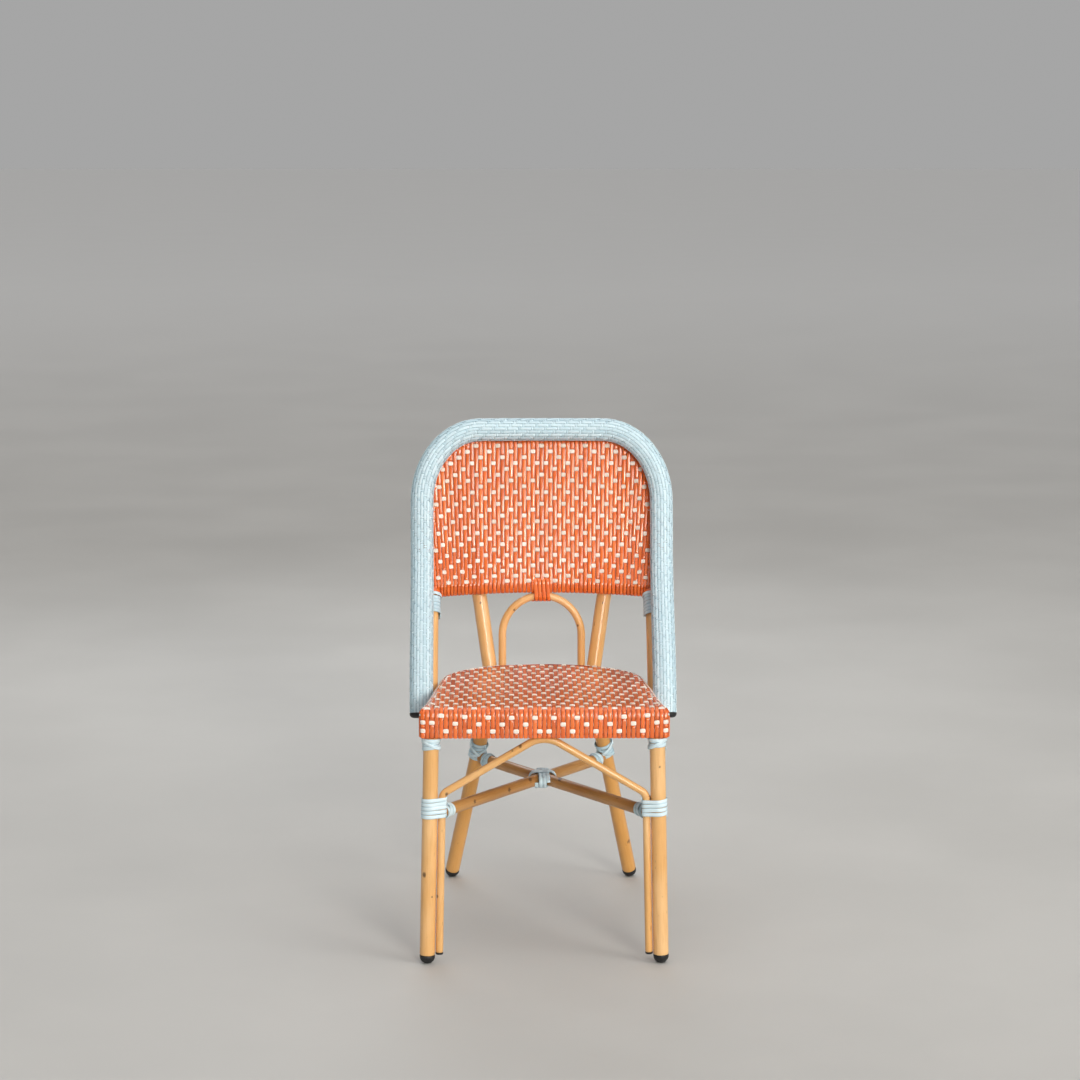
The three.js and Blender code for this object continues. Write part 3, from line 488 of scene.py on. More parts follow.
# Seat weave
def edge_arc(inset, height, reach, rise, start, end, steps=10):
    """(inset, z) points on an arc of the seat's edge, by their angles up from straight out."""
    angles = np.radians(np.linspace(start, end, steps + 1))
    return np.stack([inset - reach * np.cos(angles), height + rise * np.sin(angles)], 1)


def top_edge(start, end, steps=10):
    height = SEAT_TOP - EDGE_RISE
    return edge_arc(TOP_EDGE, height, TOP_EDGE - MID, EDGE_RISE - MID, start, end, steps)


def apron_edge(heights):
    """How far in the apron lies at heights, and the upward slope of its outward direction."""
    top = top_edge(0, 60)
    known = np.r_[SEAT_BOTTOM, top[:, 1]]
    slope = np.gradient(top[:, 0]) / np.gradient(top[:, 1])
    return [np.interp(heights, known, np.r_[first, rest])
            for first, rest in ((MID, top[:, 0]), (0.0, slope))]


def hem_lip(reach):
    """(inset, z) points of the rolled lower edge, from inside to the apron's face."""
    inside = np.linspace(HEM_LIP, BOTTOM_EDGE, 7)
    roll = 0.5 + 0.5 * np.cos(math.pi * (inside - BOTTOM_EDGE) / (HEM_LIP - BOTTOM_EDGE))
    inner = np.stack([inside, SEAT_BOTTOM + MID - HEM_DROP * roll], 1)[inside < reach + 0.1]
    radius = BOTTOM_EDGE - MID
    height = SEAT_BOTTOM + BOTTOM_EDGE - HEM_DROP
    return np.vstack([inner, edge_arc(BOTTOM_EDGE, height, radius, radius, -90, 0)[1:]])


def hem_reach(place, out):
    """How far a strand's hem reaches in below the seat, short of a front leg."""
    here = np.array([abs(place[0]), place[1]])
    inward = -out * np.array([1.0 if place[0] >= 0 else -1.0, 1.0])
    reaches = np.arange(1.0, HEM_REACH + 0.1, 0.5)
    gaps = np.linalg.norm(here + inward * reaches[:, None] - FRONT_LEG_TOP[:2], axis=1)
    blocked = reaches[gaps < LEG_RADIUS + 1.0]
    return max(BOTTOM_EDGE, blocked[0]) if len(blocked) else HEM_REACH


def apron_route(distance, top_angle=90.0):
    """A strand's route and outward directions from its hem, up the apron and over its edge."""
    (place,), (out,) = outline_at(distance)
    reach = hem_reach(place, out)
    hem = [(reach, SEAT_BOTTOM + MID)] if reach > HEM_LIP + 1 else []
    profile = np.array([*hem, *hem_lip(reach), *top_edge(0, top_angle)])
    way = tangents(profile)
    flat = place[None] - out[None] * profile[:, :1]
    outward = np.concatenate([out[None] * way[:, 1:], way[:, :1]], 1)
    return np.column_stack([flat, profile[:, 1]]), outward


def apron_dot(column, row):
    return is_dot(column, row) or (abs(column), row) == CORNER_DOT


def apron_row_height(row, distance):
    """Rows of the apron, which sag in the front's middle and rise to its corners."""
    reach = np.minimum(np.abs(distance) / ROW_REACH, 1.0)
    return APRON_ROWS[row] - ROW_SAG + ROW_RISE[row] * reach ** 3


def apron_dots(route, column, distance):
    height = route[:, 2]
    upright = (height > UPRIGHT[0]) & (np.cumsum(height > UPRIGHT[1]) == 0)
    lengths = along(route)[upright]
    rows = [row for row in range(len(APRON_ROWS)) if apron_dot(column, row)]
    heights = [apron_row_height(row, distance) for row in rows]
    return [float(np.interp(wanted, height[upright], lengths)) for wanted in heights]


def top_row_depth(row):
    return TOP_ROW_START + TOP_ROW_PITCH * (row - EDGE_ROW)


def top_dots(route, column):
    on_top = route[:, 2] > SEAT_TOP - TOP_EDGE
    depths, lengths = route[on_top, 1], along(route)[on_top]
    rows = [row for row in range(EDGE_ROW, EDGE_ROW + TOP_ROWS) if is_dot(column, row)]
    found = [y for y in map(top_row_depth, rows) if depths[0] + 2 < y < depths[-1] - 2]
    return [float(np.interp(y, depths, lengths)) for y in found]


def seat_top_strand(skin, column):
    """A strand up the apron's front and over the seat's top, which dives under the rear rim."""
    x = column * SEAT_PITCH
    rear = rear_limit(abs(x) + ORANGE_WIDTH / 2, RIM_INSET)
    dive = [point(x, rear - before, SEAT_TOP - below) for before, below in REAR_DIVE]
    start, start_out = apron_route(x)
    route, outward = refined(np.vstack([start, *dive]), np.vstack([start_out, *[UP] * len(dive)]))
    dots = apron_dots(route, column, x) + top_dots(route, column)
    weave_strand(skin, route, outward, dots, WHITE_WIDTH / 2, 1, ORANGE_WIDTH, ORANGE_THICK)


def apron_columns():
    """(column, distance round) of the apron's own strands, beyond the front's columns."""
    first, last = FRONT_COLUMNS + 1, int(round(HALF_ROUND / SEAT_PITCH))
    start = first * SEAT_PITCH
    pitch = (HALF_ROUND - start) / (last - first)
    right = [(column, start + (column - first) * pitch) for column in range(first, last + 1)]
    return right + [(-column, -distance) for column, distance in right[:-1]]


def apron_strand(skin, column, distance):
    beyond = abs(column) - FRONT_COLUMNS
    route, outward = refined(*apron_route(distance, CORNER_TOPS.get(beyond, 50.0)))
    dots = apron_dots(route, column, distance)
    weave_strand(skin, route, outward, dots, WHITE_WIDTH / 2, 1, ORANGE_WIDTH, ORANGE_THICK,
                 rise=CORNER_DIP if beyond in CORNER_TOPS else FLOAT)


def apron_ring(skin, row):
    """A white strand round the apron."""
    distances = np.linspace(-HALF_ROUND, HALF_ROUND, 500)
    places, out = outline_at(distances)
    heights = apron_row_height(row, distances)
    inset, slope = apron_edge(heights)
    route = set_in(places, out, inset[:, None], heights)
    front = [(column, column * SEAT_PITCH) for column in range(-FRONT_COLUMNS, FRONT_COLUMNS + 1)]
    columns = sorted(front + apron_columns(), key=lambda pair: pair[1])
    crossed = [distance for column, distance in columns if apron_dot(column, row)]
    dots = np.interp(crossed, distances, along(route))
    weave_strand(skin, route, unit(np.column_stack([out, slope])), dots, SEAT_PITCH / 2 - 0.5, -1,
                 WHITE_WIDTH, WHITE_THICK, rise=WHITE_RISE, pinch=PINCH)


def seat_row(skin, row):
    """A white strand across the seat's top, wrapped over the rims at its two ends."""
    depth = top_row_depth(row)
    half = seat_half_width(depth)
    if half < 20:
        return
    arc = edge_arc(TOP_EDGE, SEAT_TOP - TOP_EDGE, ROW_WRAP_RADIUS, ROW_WRAP_RADIUS, 90, -8)
    none = np.zeros(len(arc))
    right = np.column_stack([half - arc[:, 0], none + depth, arc[:, 1]])
    right_out = np.column_stack([TOP_EDGE - arc[:, 0], none, arc[:, 1] - SEAT_TOP + TOP_EDGE])
    steps = 120
    flat = np.linspace(-(half - TOP_EDGE - 5), half - TOP_EDGE - 5, steps)
    middle = np.column_stack([flat, np.full(steps, depth), np.full(steps, SEAT_TOP - MID)])
    route = np.vstack([handed(-1, right)[::-1], middle, right])
    outward = unit(np.vstack([handed(-1, right_out)[::-1], np.tile(UP, (steps, 1)), right_out]))
    crossed = [column * SEAT_PITCH for column in range(-FRONT_COLUMNS, FRONT_COLUMNS + 1)
               if is_dot(column, row) and abs(column * SEAT_PITCH) < half - TOP_EDGE - 4]
    span = (route[:, 2] > SEAT_TOP - MID - 0.1) & (np.abs(route[:, 0]) < half - TOP_EDGE)
    dots = np.interp(crossed, route[span, 0], along(route)[span])
    weave_strand(skin, route, outward, dots, SEAT_PITCH / 2 - 0.9, -1, TOP_WHITE_WIDTH,
                 TOP_WHITE_THICK, spacing=7.0, **TOP_WHITE_CROSSING)


def front_edge_row(skin):
    """The white row on the rounded front edge."""
    reach, rise = TOP_EDGE - MID, EDGE_RISE - MID
    angle = math.acos((TOP_EDGE - EDGE_ROW_INSET) / reach)
    ((inset, height),) = top_edge(math.degrees(angle), math.degrees(angle), 0)
    last = FRONT_COLUMNS + 1
    distances = np.linspace(-(last + 0.5) * SEAT_PITCH, (last + 0.5) * SEAT_PITCH, 160)
    places, out = outline_at(distances)
    route = set_in(places, out, inset, height)
    tilt = math.atan(math.tan(angle) * reach / rise)
    outward = np.column_stack([out * math.cos(tilt), np.full(len(out), math.sin(tilt))])
    crossed = [column * SEAT_PITCH for column in range(-last, last + 1)
               if is_dot(column, EDGE_ROW) or abs(column) == last]
    dots = np.interp(crossed, distances, along(route))
    weave_strand(skin, route, outward, dots, SEAT_PITCH / 2 - 0.7, -1, TOP_WHITE_WIDTH,
                 WHITE_THICK, spacing=8.0, rise=WHITE_RISE)


def rim_strand(skin):
    """The strand that lies on the top edge, round the sides and the rear."""
    inset = TOP_EDGE - RIM_RADIUS * math.cos(math.pi / 4)
    height = SEAT_TOP - TOP_EDGE + RIM_RADIUS * math.sin(math.pi / 4)
    angles = np.radians(np.linspace(-RIM_HALF_ANGLE, RIM_HALF_ANGLE, 7))
    arc = np.stack([np.cos(angles), np.sin(angles)], 1)
    ring = np.vstack([RIM_RADIUS * arc, (RIM_RADIUS - ORANGE_THICK) * arc[::-1]])
    ring = ring - (RIM_RADIUS, 0)
    # Painted shade: the rim strand darkens towards its two edges
    mark = np.abs(np.r_[angles, angles[::-1]]) / angles.max()
    start = (FRONT_COLUMNS + 1.5) * SEAT_PITCH

    def span(side, count):
        distances = side * np.linspace(start, HALF_ROUND + 3, count)
        return outline_at(np.clip(distances, -HALF_ROUND, HALF_ROUND))

    for side in (1, -1):
        places, out = span(side, 260)
        route = resampled(set_in(places, out, inset, height), 3.0)
        out = span(side, len(route))[1]
        outward = square_to(np.column_stack([out, np.ones(len(out))]), tangents(route))
        section = np.broadcast_to(ring, (len(route), *ring.shape))
        skin.strip(route, outward, section, draws.uniform(-1, 1), mark)


def hem_strand(skin):
    """The strand that finishes the hem below the seat."""
    places, out = outline_at(np.linspace(-HALF_ROUND, HALF_ROUND, 400))
    keep = np.array([hem_reach(*pair) > HEM_STRAND_INSET for pair in zip(places, out)])
    runs = np.split(np.arange(len(keep)), np.flatnonzero(np.diff(keep.astype(int))) + 1)
    for run in runs:
        if keep[run[0]] and len(run) > 6:
            route = set_in(places[run], out[run], HEM_STRAND_INSET, SEAT_BOTTOM + 0.9)
            skin.strand(resampled(route, 4.0), -UP, *HEM_STRAND)


def seat():
    orange, white = Skin(), Skin()
    for column in range(-FRONT_COLUMNS, FRONT_COLUMNS + 1):
        seat_top_strand(orange, column)
    for column, distance in apron_columns():
        apron_strand(orange, column, distance)
    rim_strand(orange)
    hem_strand(orange)
    for row in range(len(APRON_ROWS)):
        apron_ring(white, row)
    front_edge_row(white)
    for row in range(EDGE_ROW + 1, EDGE_ROW + TOP_ROWS):
        seat_row(white, row)
    orange.build("seat_strands_orange", ORANGE, "seat_weave")
    white.build("seat_strands_white", WHITE, "seat_weave")


# Back surface
def sweep_at(z):
    share = np.clip((SWEEP_TOP - z) / (SWEEP_TOP - HOOP_END), 0, 1)
    return (1 - np.cos(math.pi * share)) / 2


def back_depth(x, z):
    forward = (BACK_BULGE + SWEEP_REACH * sweep_at(z)) * (x / HOOP_HALF) ** 2
    return SEAT_DEPTH - HOOP_OVERHANG + (z - PANEL_BOTTOM) * BACK_SLOPE - forward


def back_slope(x, z):
    return (back_depth(x, z + 0.3) - back_depth(x, z - 0.3)) / 0.6


def on_back(x, z, setback):
    x, z = np.broadcast_arrays(np.asarray(x, float), np.asarray(z, float))
    return np.stack([x, back_depth(x, z) + setback * np.hypot(1, back_slope(x, z)), z], -1)


def back_normal(x, z):
    x, z = np.broadcast_arrays(np.asarray(x, float), np.asarray(z, float))
    return unit(np.stack([np.zeros_like(x), np.ones_like(x), -back_slope(x, z)], -1))


def hoop_front(inset, drop, end_half, end_height, steps=24):
    """Front view (x, z) of the hoop, or of the frame inside it, from left end to right end."""
    half, top = HOOP_HALF - inset, HOOP_TOP - drop
    width, height = HOOP_CORNER[0] - inset, HOOP_CORNER[1] - drop
    end, shoulder = np.array([end_half, end_height]), np.array([half, SWEEP_TOP])
    side = end + (shoulder - end) * np.linspace(0, 1, 2 * steps + 1)[:, None]
    angle = np.linspace(0, math.pi / 2, steps + 1)
    corner = [half - width * (1 - np.cos(angle)), top - height * (1 - np.sin(angle))]
    right = np.vstack([side, np.stack(corner, 1), [(0.0, top)]])
    return np.vstack([right * (-1, 1), right[:-1][::-1]])


def draped(front, setback_at, spacing):
    """A front view's route on the back surface, and its normals."""
    x, z = resampled(front, spacing).T
    return on_back(x, z, setback_at(z)), back_normal(x, z)


def frame_setback(z):
    return FRAME_SETBACK + FRAME_TUCK * sweep_at(z)


HOOP_FRONT = hoop_front(-COVER_WIDER, 0, HOOP_END_HALF + COVER_WIDER, HOOP_END)
HOOP_ROUTE, HOOP_NORMAL = draped(HOOP_FRONT, lambda z: 0, 2.0)
FRAME_FRONT = hoop_front(FRAME_INSET, FRAME_DROP, FRAME_END_HALF, FRAME_END)


def frame_half_at(z):
    right = FRAME_FRONT[FRAME_FRONT[:, 0] > 0][::-1]
    return np.interp(z, right[:, 1], right[:, 0])


# Back panel
def panel_row_height(row):
    """Rows of an even pitch, which close up towards the hem."""
    below = max(0, PANEL_EVEN_ROW - row)
    closing = PANEL_CLOSING * below ** 2 / 2
    return PANEL_EVEN_HEIGHT + PANEL_PITCH * (row - PANEL_EVEN_ROW) + closing


def panel_x(column, z):
    taper = PANEL_TAPER * np.clip((PANEL_TOP - z) / (PANEL_TOP - PANEL_BOTTOM), 0, 1)
    return COLUMN_PITCH * column - taper * column ** 3


def panel_width(column, z):
    pitch = panel_x(column + 0.5, z) - panel_x(column - 0.5, z)
    return np.minimum(ORANGE_WIDTH, 0.95 * pitch)


def wrap_round(x, z, setback, angles, hand):
    """Points round a tube of the back, from its front over its top (hand 1) or bottom (-1)."""
    back = back_normal(x, z)
    climb = np.cross(back, point(1, 0, 0))
    climb = climb * np.sign(climb[2]) * hand
    turn = np.radians(angles)[:, None]
    outward = climb * np.sin(turn) - back * np.cos(turn)
    return on_back(x, z, setback) + outward * (setback - SHEET_SETBACK), outward


def panel_strand(skin, column):
    """A strand from behind the hem's rail, up the panel and over the frame's top."""
    heights = np.arange(RAIL_HEIGHT, HOOP_TOP, 0.5)
    inside = np.abs(panel_x(column, heights)) <= frame_half_at(heights)
    top = heights[np.flatnonzero(inside & (heights <= HOOP_TOP - FRAME_DROP))[-1]]
    rise = np.linspace(RAIL_HEIGHT, top, max(8, int((top - RAIL_HEIGHT) / 4)))
    xs = panel_x(column, rise)
    low, low_out = wrap_round(float(xs[0]), RAIL_HEIGHT, RAIL_SETBACK, HEM_TURN, -1)
    drop = PANEL_HEM_DROP[0] + PANEL_HEM_DROP[1] * (xs[0] / FRAME_END_HALF) ** 2
    low = low - drop * UP * (HEM_TURN <= 180)[:, None]
    parts = [low, on_back(xs, rise, SHEET_SETBACK)]
    outs = [low_out, -back_normal(xs, rise)]
    widths = [np.full(len(low), panel_width(column, RAIL_HEIGHT)), panel_width(column, rise)]
    if abs(xs[-1]) < PANEL_WRAP_REACH:
        high, high_out = wrap_round(float(xs[-1]), top, FRAME_SETBACK, TOP_TURN, 1)
        parts.append(high)
        outs.append(high_out)
        widths.append(np.full(len(high), panel_width(column, top)))
    route = np.vstack(parts)
    rows = [panel_row_height(row) for row in PANEL_ROWS if is_dot(column, row)]
    crossed = [height for height in rows if RAIL_HEIGHT < height < top - 3]
    dots = np.interp(crossed, rise, along(route)[len(low):len(low) + len(rise)])
    weave_strand(skin, route, np.vstack(outs), dots, WHITE_WIDTH / 2 - 0.2, 1,
                 np.concatenate(widths), ORANGE_THICK, spacing=4.5, bow=BOW)


def panel_row(skin, row):
    """A white strand across the panel."""
    z = panel_row_height(row)
    half = float(frame_half_at(z)) - 1
    xs = np.linspace(-half, half, 160)
    route = on_back(xs, z, SHEET_SETBACK)
    crossed = [panel_x(column, z) for column in PANEL_COLUMNS if is_dot(column, row)]
    dots = np.interp([x for x in crossed if abs(x) < half - 1], xs, along(route))
    width = min(WHITE_WIDTH, 0.84 * (panel_row_height(row + 1) - z))
    weave_strand(skin, route, -back_normal(xs, z), dots, COLUMN_PITCH / 2 - 0.5, -1, width,
                 WHITE_THICK, spacing=8.0, rise=WHITE_RISE, pinch=PINCH)


def frame_wraps(skin):
    """Orange strand wound round the frame's sides and corners, where the panel ends on it."""
    route, back = draped(FRAME_FRONT, frame_setback, 1.0)
    keep = (route[:, 0] > FRAME_WRAP_START[0]) & (route[:, 2] > FRAME_WRAP_START[1])
    for side in (1, -1):
        centre = handed(side, route[keep])
        lengths = along(centre)
        steps = np.linspace(0, lengths[-1], int(lengths[-1] / COLUMN_PITCH * 20))
        middle = at_lengths(centre, steps)
        ways = tangents(middle)
        normal = square_to(read_at(back[keep], lengths, steps), ways)
        angle = (2 * math.pi * steps / COLUMN_PITCH)[:, None]
        outward = normal * np.cos(angle) + np.cross(ways, normal) * np.sin(angle)
        winding = middle + outward * (FRAME_RADIUS + 0.3 + MID)
        skin.strand(winding, outward, ORANGE_WIDTH, ORANGE_THICK)


def back_panel():
    orange, white = Skin(), Skin()
    for column in PANEL_COLUMNS:
        panel_strand(orange, column)
    frame_wraps(orange)
    for row in PANEL_ROWS:
        panel_row(white, row)
    orange.build("back_strands_orange", ORANGE, "back_weave")
    white.build("back_strands_white", WHITE, "back_weave")


# Hoop cover
def oval_angles(semi, count):
    """Angles of equal steps round an oval, and its girth."""
    fine = np.linspace(0, 2 * math.pi, 721)
    lengths = along(np.stack([semi[0] * np.cos(fine), semi[1] * np.sin(fine)], 1))
    return np.interp(np.arange(count) * lengths[-1] / count, lengths, fine), lengths[-1]


def hoop_strands(skin):
    lengths = along(HOOP_ROUTE)
    kept = np.linspace(COVER_SHORT, lengths[-1] - COVER_SHORT, len(lengths))
    route = at_lengths(HOOP_ROUTE, kept)
    ways = tangents(route)
    normal = square_to(read_at(HOOP_NORMAL, lengths, kept), ways)
    across = np.cross(ways, normal)
    lengths = along(route)
    semi = (HOOP_SEMI[0] - MID, HOOP_SEMI[1] - MID)
    angles, girth = oval_angles(semi, HOOP_STRANDS)
    rings = np.arange(HOOP_RING_PITCH, lengths[-1] - 3, HOOP_RING_PITCH)
    for strand, angle in enumerate(angles):
        out, beside = normal * math.cos(angle), across * math.sin(angle)
        centre = route + out * semi[0] + beside * semi[1]
        places = rings[(np.arange(len(rings)) + strand) % HOOP_PATTERN == 0]
        dots = np.interp(places, lengths, along(centre))
        weave_strand(skin, centre, unit(out / semi[0] + beside / semi[1]), dots,
                     HOOP_RING_WIDTH / 2, 1, girth / HOOP_STRANDS * 0.99, ORANGE_THICK)
    for number, place in enumerate(rings):
        middle, facing, beside = (read_at(values, lengths, place)
                                  for values in (route, normal, across))
        hoop_ring(skin, number, middle, facing, beside, semi, angles)


def hoop_ring(skin, number, middle, facing, beside, semi, angles):
    """A narrow strand round the hoop, over one of every three long strands."""
    count = len(angles)
    share = np.arange(count * HOOP_RING_STEPS) / HOOP_RING_STEPS
    around = np.interp(share, np.arange(count + 1), np.r_[angles, angles[0] + 2 * math.pi])
    over = np.flatnonzero((number + np.arange(count)) % HOOP_PATTERN == 0)
    half = count / 2
    near = np.abs((share[:, None] - over[None] + half) % count - half).min(axis=1)
    height = FLOAT * np.where(near < 0.3, 0.9, -1.0)[:, None]
    out, side = np.cos(around)[:, None] * facing, np.sin(around)[:, None] * beside
    outward = unit(out / semi[0] + side / semi[1])
    ring = middle + out * semi[0] + side * semi[1] + outward * height
    ways = unit(np.roll(ring, -1, 0) - np.roll(ring, 1, 0))
    section = STRAND_SECTION * (WHITE_THICK, HOOP_RING_WIDTH)
    section = np.broadcast_to(section, (len(ring), *section.shape))
    # Painted shade: the mark darkens the ring strand towards its edges
    skin.strip(ring, square_to(outward, ways), section, draws.uniform(-1, 1), STRAND_EDGE, ways)


def hoop():
    cover = Skin()
    hoop_strands(cover)
    cover.build("hoop_strands_blue", BLUE, "hoop_cover")
    cuts = [(-14, 5.0), (-3.3, 5.0), (-2.9, 3.2), (-2.8, 0.6), (-2.2, 0.0), (0.4, 0.1),
            (2.2, 0.7), (3.7, 1.8), (4.9, 3.4), (5.7, 5.4), (6.2, 8.0)]
    levels = [(reach, HOOP_SEMI[0] - cut, HOOP_SEMI[1] - cut) for reach, cut in cuts]
    for (_, label), end, inner in zip(SIDES, (0, -1), (1, -2)):
        way = unit(HOOP_ROUTE[end] - HOOP_ROUTE[inner])
        turned(f"hoop_plug_{label}_moulded", HOOP_ROUTE[end], way, levels, HOOP_NORMAL[end])


# Poles
def scorched(rings, spots):
    """Scorch marks, from 0 to 1, at (place, radius) spots on a pole."""
    amount = np.zeros(rings.shape[:2])
    for place, radius in spots:
        gap = (rings - np.asarray(place)) / (radius * 0.7, radius * 1.5, radius)
        amount = np.maximum(amount, np.exp(-np.sum(gap ** 2, axis=-1)))
    return amount


def bamboo_radius(lengths, radius, joints, swell=0.35, groove=0.4):
    """A pole's radius, with rounded ends and the faint double rings of bamboo joints."""
    end = np.minimum(lengths, lengths[-1] - lengths)
    radius = radius - np.clip(1 - end / 0.9, 0, 1) ** 2 * 0.7
    for joint in joints:
        gap = lengths - joint
        radius += swell * np.exp(-(gap / 5.0) ** 2)
        radius -= groove * np.exp(-((np.abs(gap) - 1.6) / 0.9) ** 2)
    return radius


def pole(name, route, facing, radius, joints, spots, look, sides=28):
    skin = Skin()
    route = resampled(np.asarray(route, float), 2.0)
    radii = bamboo_radius(along(route), radius, joints)
    skin.tube(route, facing, radii, sides, spots, draws.uniform(-1, 1))
    skin.build(name, look)


FRONT_WAY = unit(point(*FRONT_LEG_TOP) - point(*FRONT_FOOT))
REAR_WAY = unit(point(*KINK) - point(*REAR_FOOT))


def on_front_leg(z):
    return point(*FRONT_FOOT) + FRONT_WAY * (z - FRONT_FOOT[2]) / FRONT_WAY[2]


def on_rear_leg(z):
    return point(*REAR_FOOT) + REAR_WAY * (z - REAR_FOOT[2]) / REAR_WAY[2]


FRONT_JOINT = on_front_leg(STRETCHER_HEIGHT)
REAR_JOINT = on_rear_leg(STRETCHER_HEIGHT)
CROSSING = point(0, CROSSING_DEPTH, STRETCHER_HEIGHT)


def front_legs():
    route = [point(*FRONT_FOOT) + FRONT_WAY * FOOT_COLLAR,
             on_front_leg(LOWER_RING - RING_DIAMETER / 2 - 0.6)]
    spots = {"left": [((-206, 5, 159), 7), ((-203, 5, 331), 3), ((-192, 6, 120), 3)],
             "right": [((203, 5, 120), 3), ((196, 5, 347), 3)]}
    for side, label in SIDES:
        pole(f"front_leg_{label}_pole", handed(side, route), (1, 0, 0), LEG_RADIUS - 0.25, [155],
             spots[label], POLE)


def rear_legs():
    foot = point(*REAR_FOOT) + REAR_WAY * FOOT_COLLAR
    route = bent([foot, point(*KINK), point(*POST_BEND), point(*POST_END)], POST_RADII)
    spots = {"left": [((-128, 437, 238), 7), ((-150, 520, 120), 4), ((-112, 409, 560), 4)],
             "right": [((165, 545, 78), 7), ((133, 460, 210), 4), ((112, 409, 560), 4)]}
    for side, label in SIDES:
        pole(f"rear_leg_{label}_pole", handed(side, route), (1, 0, 0), LEG_RADIUS - 0.25,
             [88, 560], spots[label], LOW_SHADED_POLE)


def brace():
    foot = on_front_leg(BRACE_END) - (BRACE_STEP, 0, 0)
    bend = on_front_leg(BRACE_BEND) - (BRACE_STEP, 0, 0)
    round_up = BRACE_PEAK_RADIUS
    rise = SEAT_BOTTOM - 0.3 - BRACE_RADIUS - bend[2] - round_up
    steep = 1 - (round_up / bend[0]) ** 2
    peak_rise = (rise + math.sqrt(rise ** 2 - steep * (rise ** 2 - round_up ** 2))) / steep
    peak = point(0, FRONT_FOOT[1], bend[2] + peak_rise)
    route = bent([foot, bend, peak, handed(-1, bend), handed(-1, foot)],
                 [BRACE_BEND_RADIUS, round_up, BRACE_BEND_RADIUS])
    spots = [((-41, 11, 383), 6), ((-55, 11, 376), 5), ((-166, 11, 298), 6),
             ((-184, 11, 119), 5), ((90, 11, 356), 4)]
    pole("front_brace_rod", route, (0, 1, 0), BRACE_RADIUS - 0.2, [120, 690], spots, POLE, 20)


def stretchers():
    cope = 1.24 * STRETCHER_RADIUS
    for name, start, end, cuts, joints, spots in (
        ("long", handed(-1, FRONT_JOINT), REAR_JOINT, (30, 15), [150, 330],
         [((-60, 195, 262), 6), ((70, 400, 265), 5), ((-120, 110, 262), 5), ((-22, 250, 268), 7),
          ((-150, 75, 255), 4)]),
        ("short_front", FRONT_JOINT, CROSSING, (30, cope), [120],
         [((31, 246, 270), 8), ((90, 160, 262), 6), ((140, 95, 256), 5)]),
        ("short_rear", handed(-1, REAR_JOINT), CROSSING, (15, cope), [90],
         [((-29, 330, 262), 6)]),
    ):
        way = unit(end - start)
        pole(f"stretcher_{name}_pole", [start + way * cuts[0], end - way * cuts[1]], (0, 0, 1),
             STRETCHER_RADIUS - 0.2, joints, spots, SHADED_STRETCHER_POLE, 24)


def arch():
    angle = np.linspace(0, math.pi, 61)
    curve = np.stack([np.cos(angle), np.sin(angle) - 1], 1) * ARCH_HALF + (0, ARCH_TOP)
    x, z = np.vstack([[(ARCH_HALF, ARCH_END)], curve, [(-ARCH_HALF, ARCH_END)]]).T
    route = np.column_stack([x, np.interp(z, (SEAT_BOTTOM, ARCH_TOP), ARCH_DEPTHS), z])
    spots = [((66, 400, 520), 4), ((-50, 400, 548), 4), ((-71, 398, 458), 3)]
    pole("arch_rod_pole", route, (0, 1, 0), ARCH_RADIUS + 0.2, [95, 300], spots, POLE, 20)


def back_frame():
    skin = Skin()
    route, normal = draped(FRAME_FRONT, frame_setback, 3.0)
    skin.tube(route, normal, FRAME_RADIUS - 0.2, 24, [((-197, 340, 520), 4), ((197, 300, 490), 4)])
    skin.build("back_frame_pole", POLE)


def seat_rings():
    def bare_tube(name, route, radius, sides):
        skin = Skin()
        skin.tube(route, (0, 0, 1), radius, sides)
        skin.build(name + "_tube", BARE)

    half_round = along(RING_OUTLINE)[-1] - 0.2
    places, out = outline_at(np.linspace(-half_round, half_round, 360), RING_OUTLINE)
    for name, height in (("upper", UPPER_RING), ("lower", LOWER_RING)):
        route = set_in(places, out, RING_INSET, height)
        bare_tube("seat_ring_" + name, route, RING_DIAMETER / 2 - 0.3, 16)
    for name, depth in zip(("front", "rear"), CROSSBAR_DEPTHS):
        half = seat_half_width(depth) - RING_INSET - RING_DIAMETER / 2 + 1
        route = resampled(np.array([(-half, depth, UPPER_RING), (half, depth, UPPER_RING)]), 6.0)
        bare_tube("seat_crossbar_" + name, route, CROSSBAR_DIAMETER / 2 - 0.1, 18)


# Feet, caps and plugs
def turned(name, centre, way, levels, facing=(1, 0, 0), sides=40):
    """A moulded form: (reach along the way, radius or two radii) levels."""
    levels = np.array(levels, float)
    line = centre + way * levels[:, :1]
    outward = square_to(facing, np.broadcast_to(way, line.shape))
    skin = Skin()
    skin.strip(line, outward, round_section(sides)[None] * levels[:, None, 1:])
    return skin.build(name, BLACK, sharp=40)


def feet():
    dome = [(-LEG_RADIUS * math.cos(angle), LEG_RADIUS * math.sin(angle) - 0.25)
            for angle in np.radians(np.arange(16, 90, 6))]
    rim = [(0.0, 13.25), (1.9, 13.25), (2.4, 12.9), (2.5, 12.3), (2.5, 11.2), (20, 11.0)]
    cap = [(-4, 4.0), (-3.9, 5.2), (-3.5, 6.0), (-2.9, 6.45), (-0.35, 6.5), (-0.3, 6.2),
           (-0.3, 5.0), (9, 4.9)]
    cap_end = on_front_leg(BRACE_END) - (BRACE_STEP, 0, 0)
    for side, label in SIDES:
        for end, foot, way in (("front", FRONT_FOOT, FRONT_WAY), ("rear", REAR_FOOT, REAR_WAY)):
            piece = turned(f"{end}_foot_{label}_moulded", handed(side, foot), handed(side, way),
                           dome + rim)
            # The lowest points stand level, just off the floor
            for vertex in piece.data.vertices:
                vertex.co.z = max(vertex.co.z, 0.0002)
        turned(f"brace_cap_{label}_moulded", handed(side, cap_end), handed(side, FRONT_WAY), cap,
               sides=28)


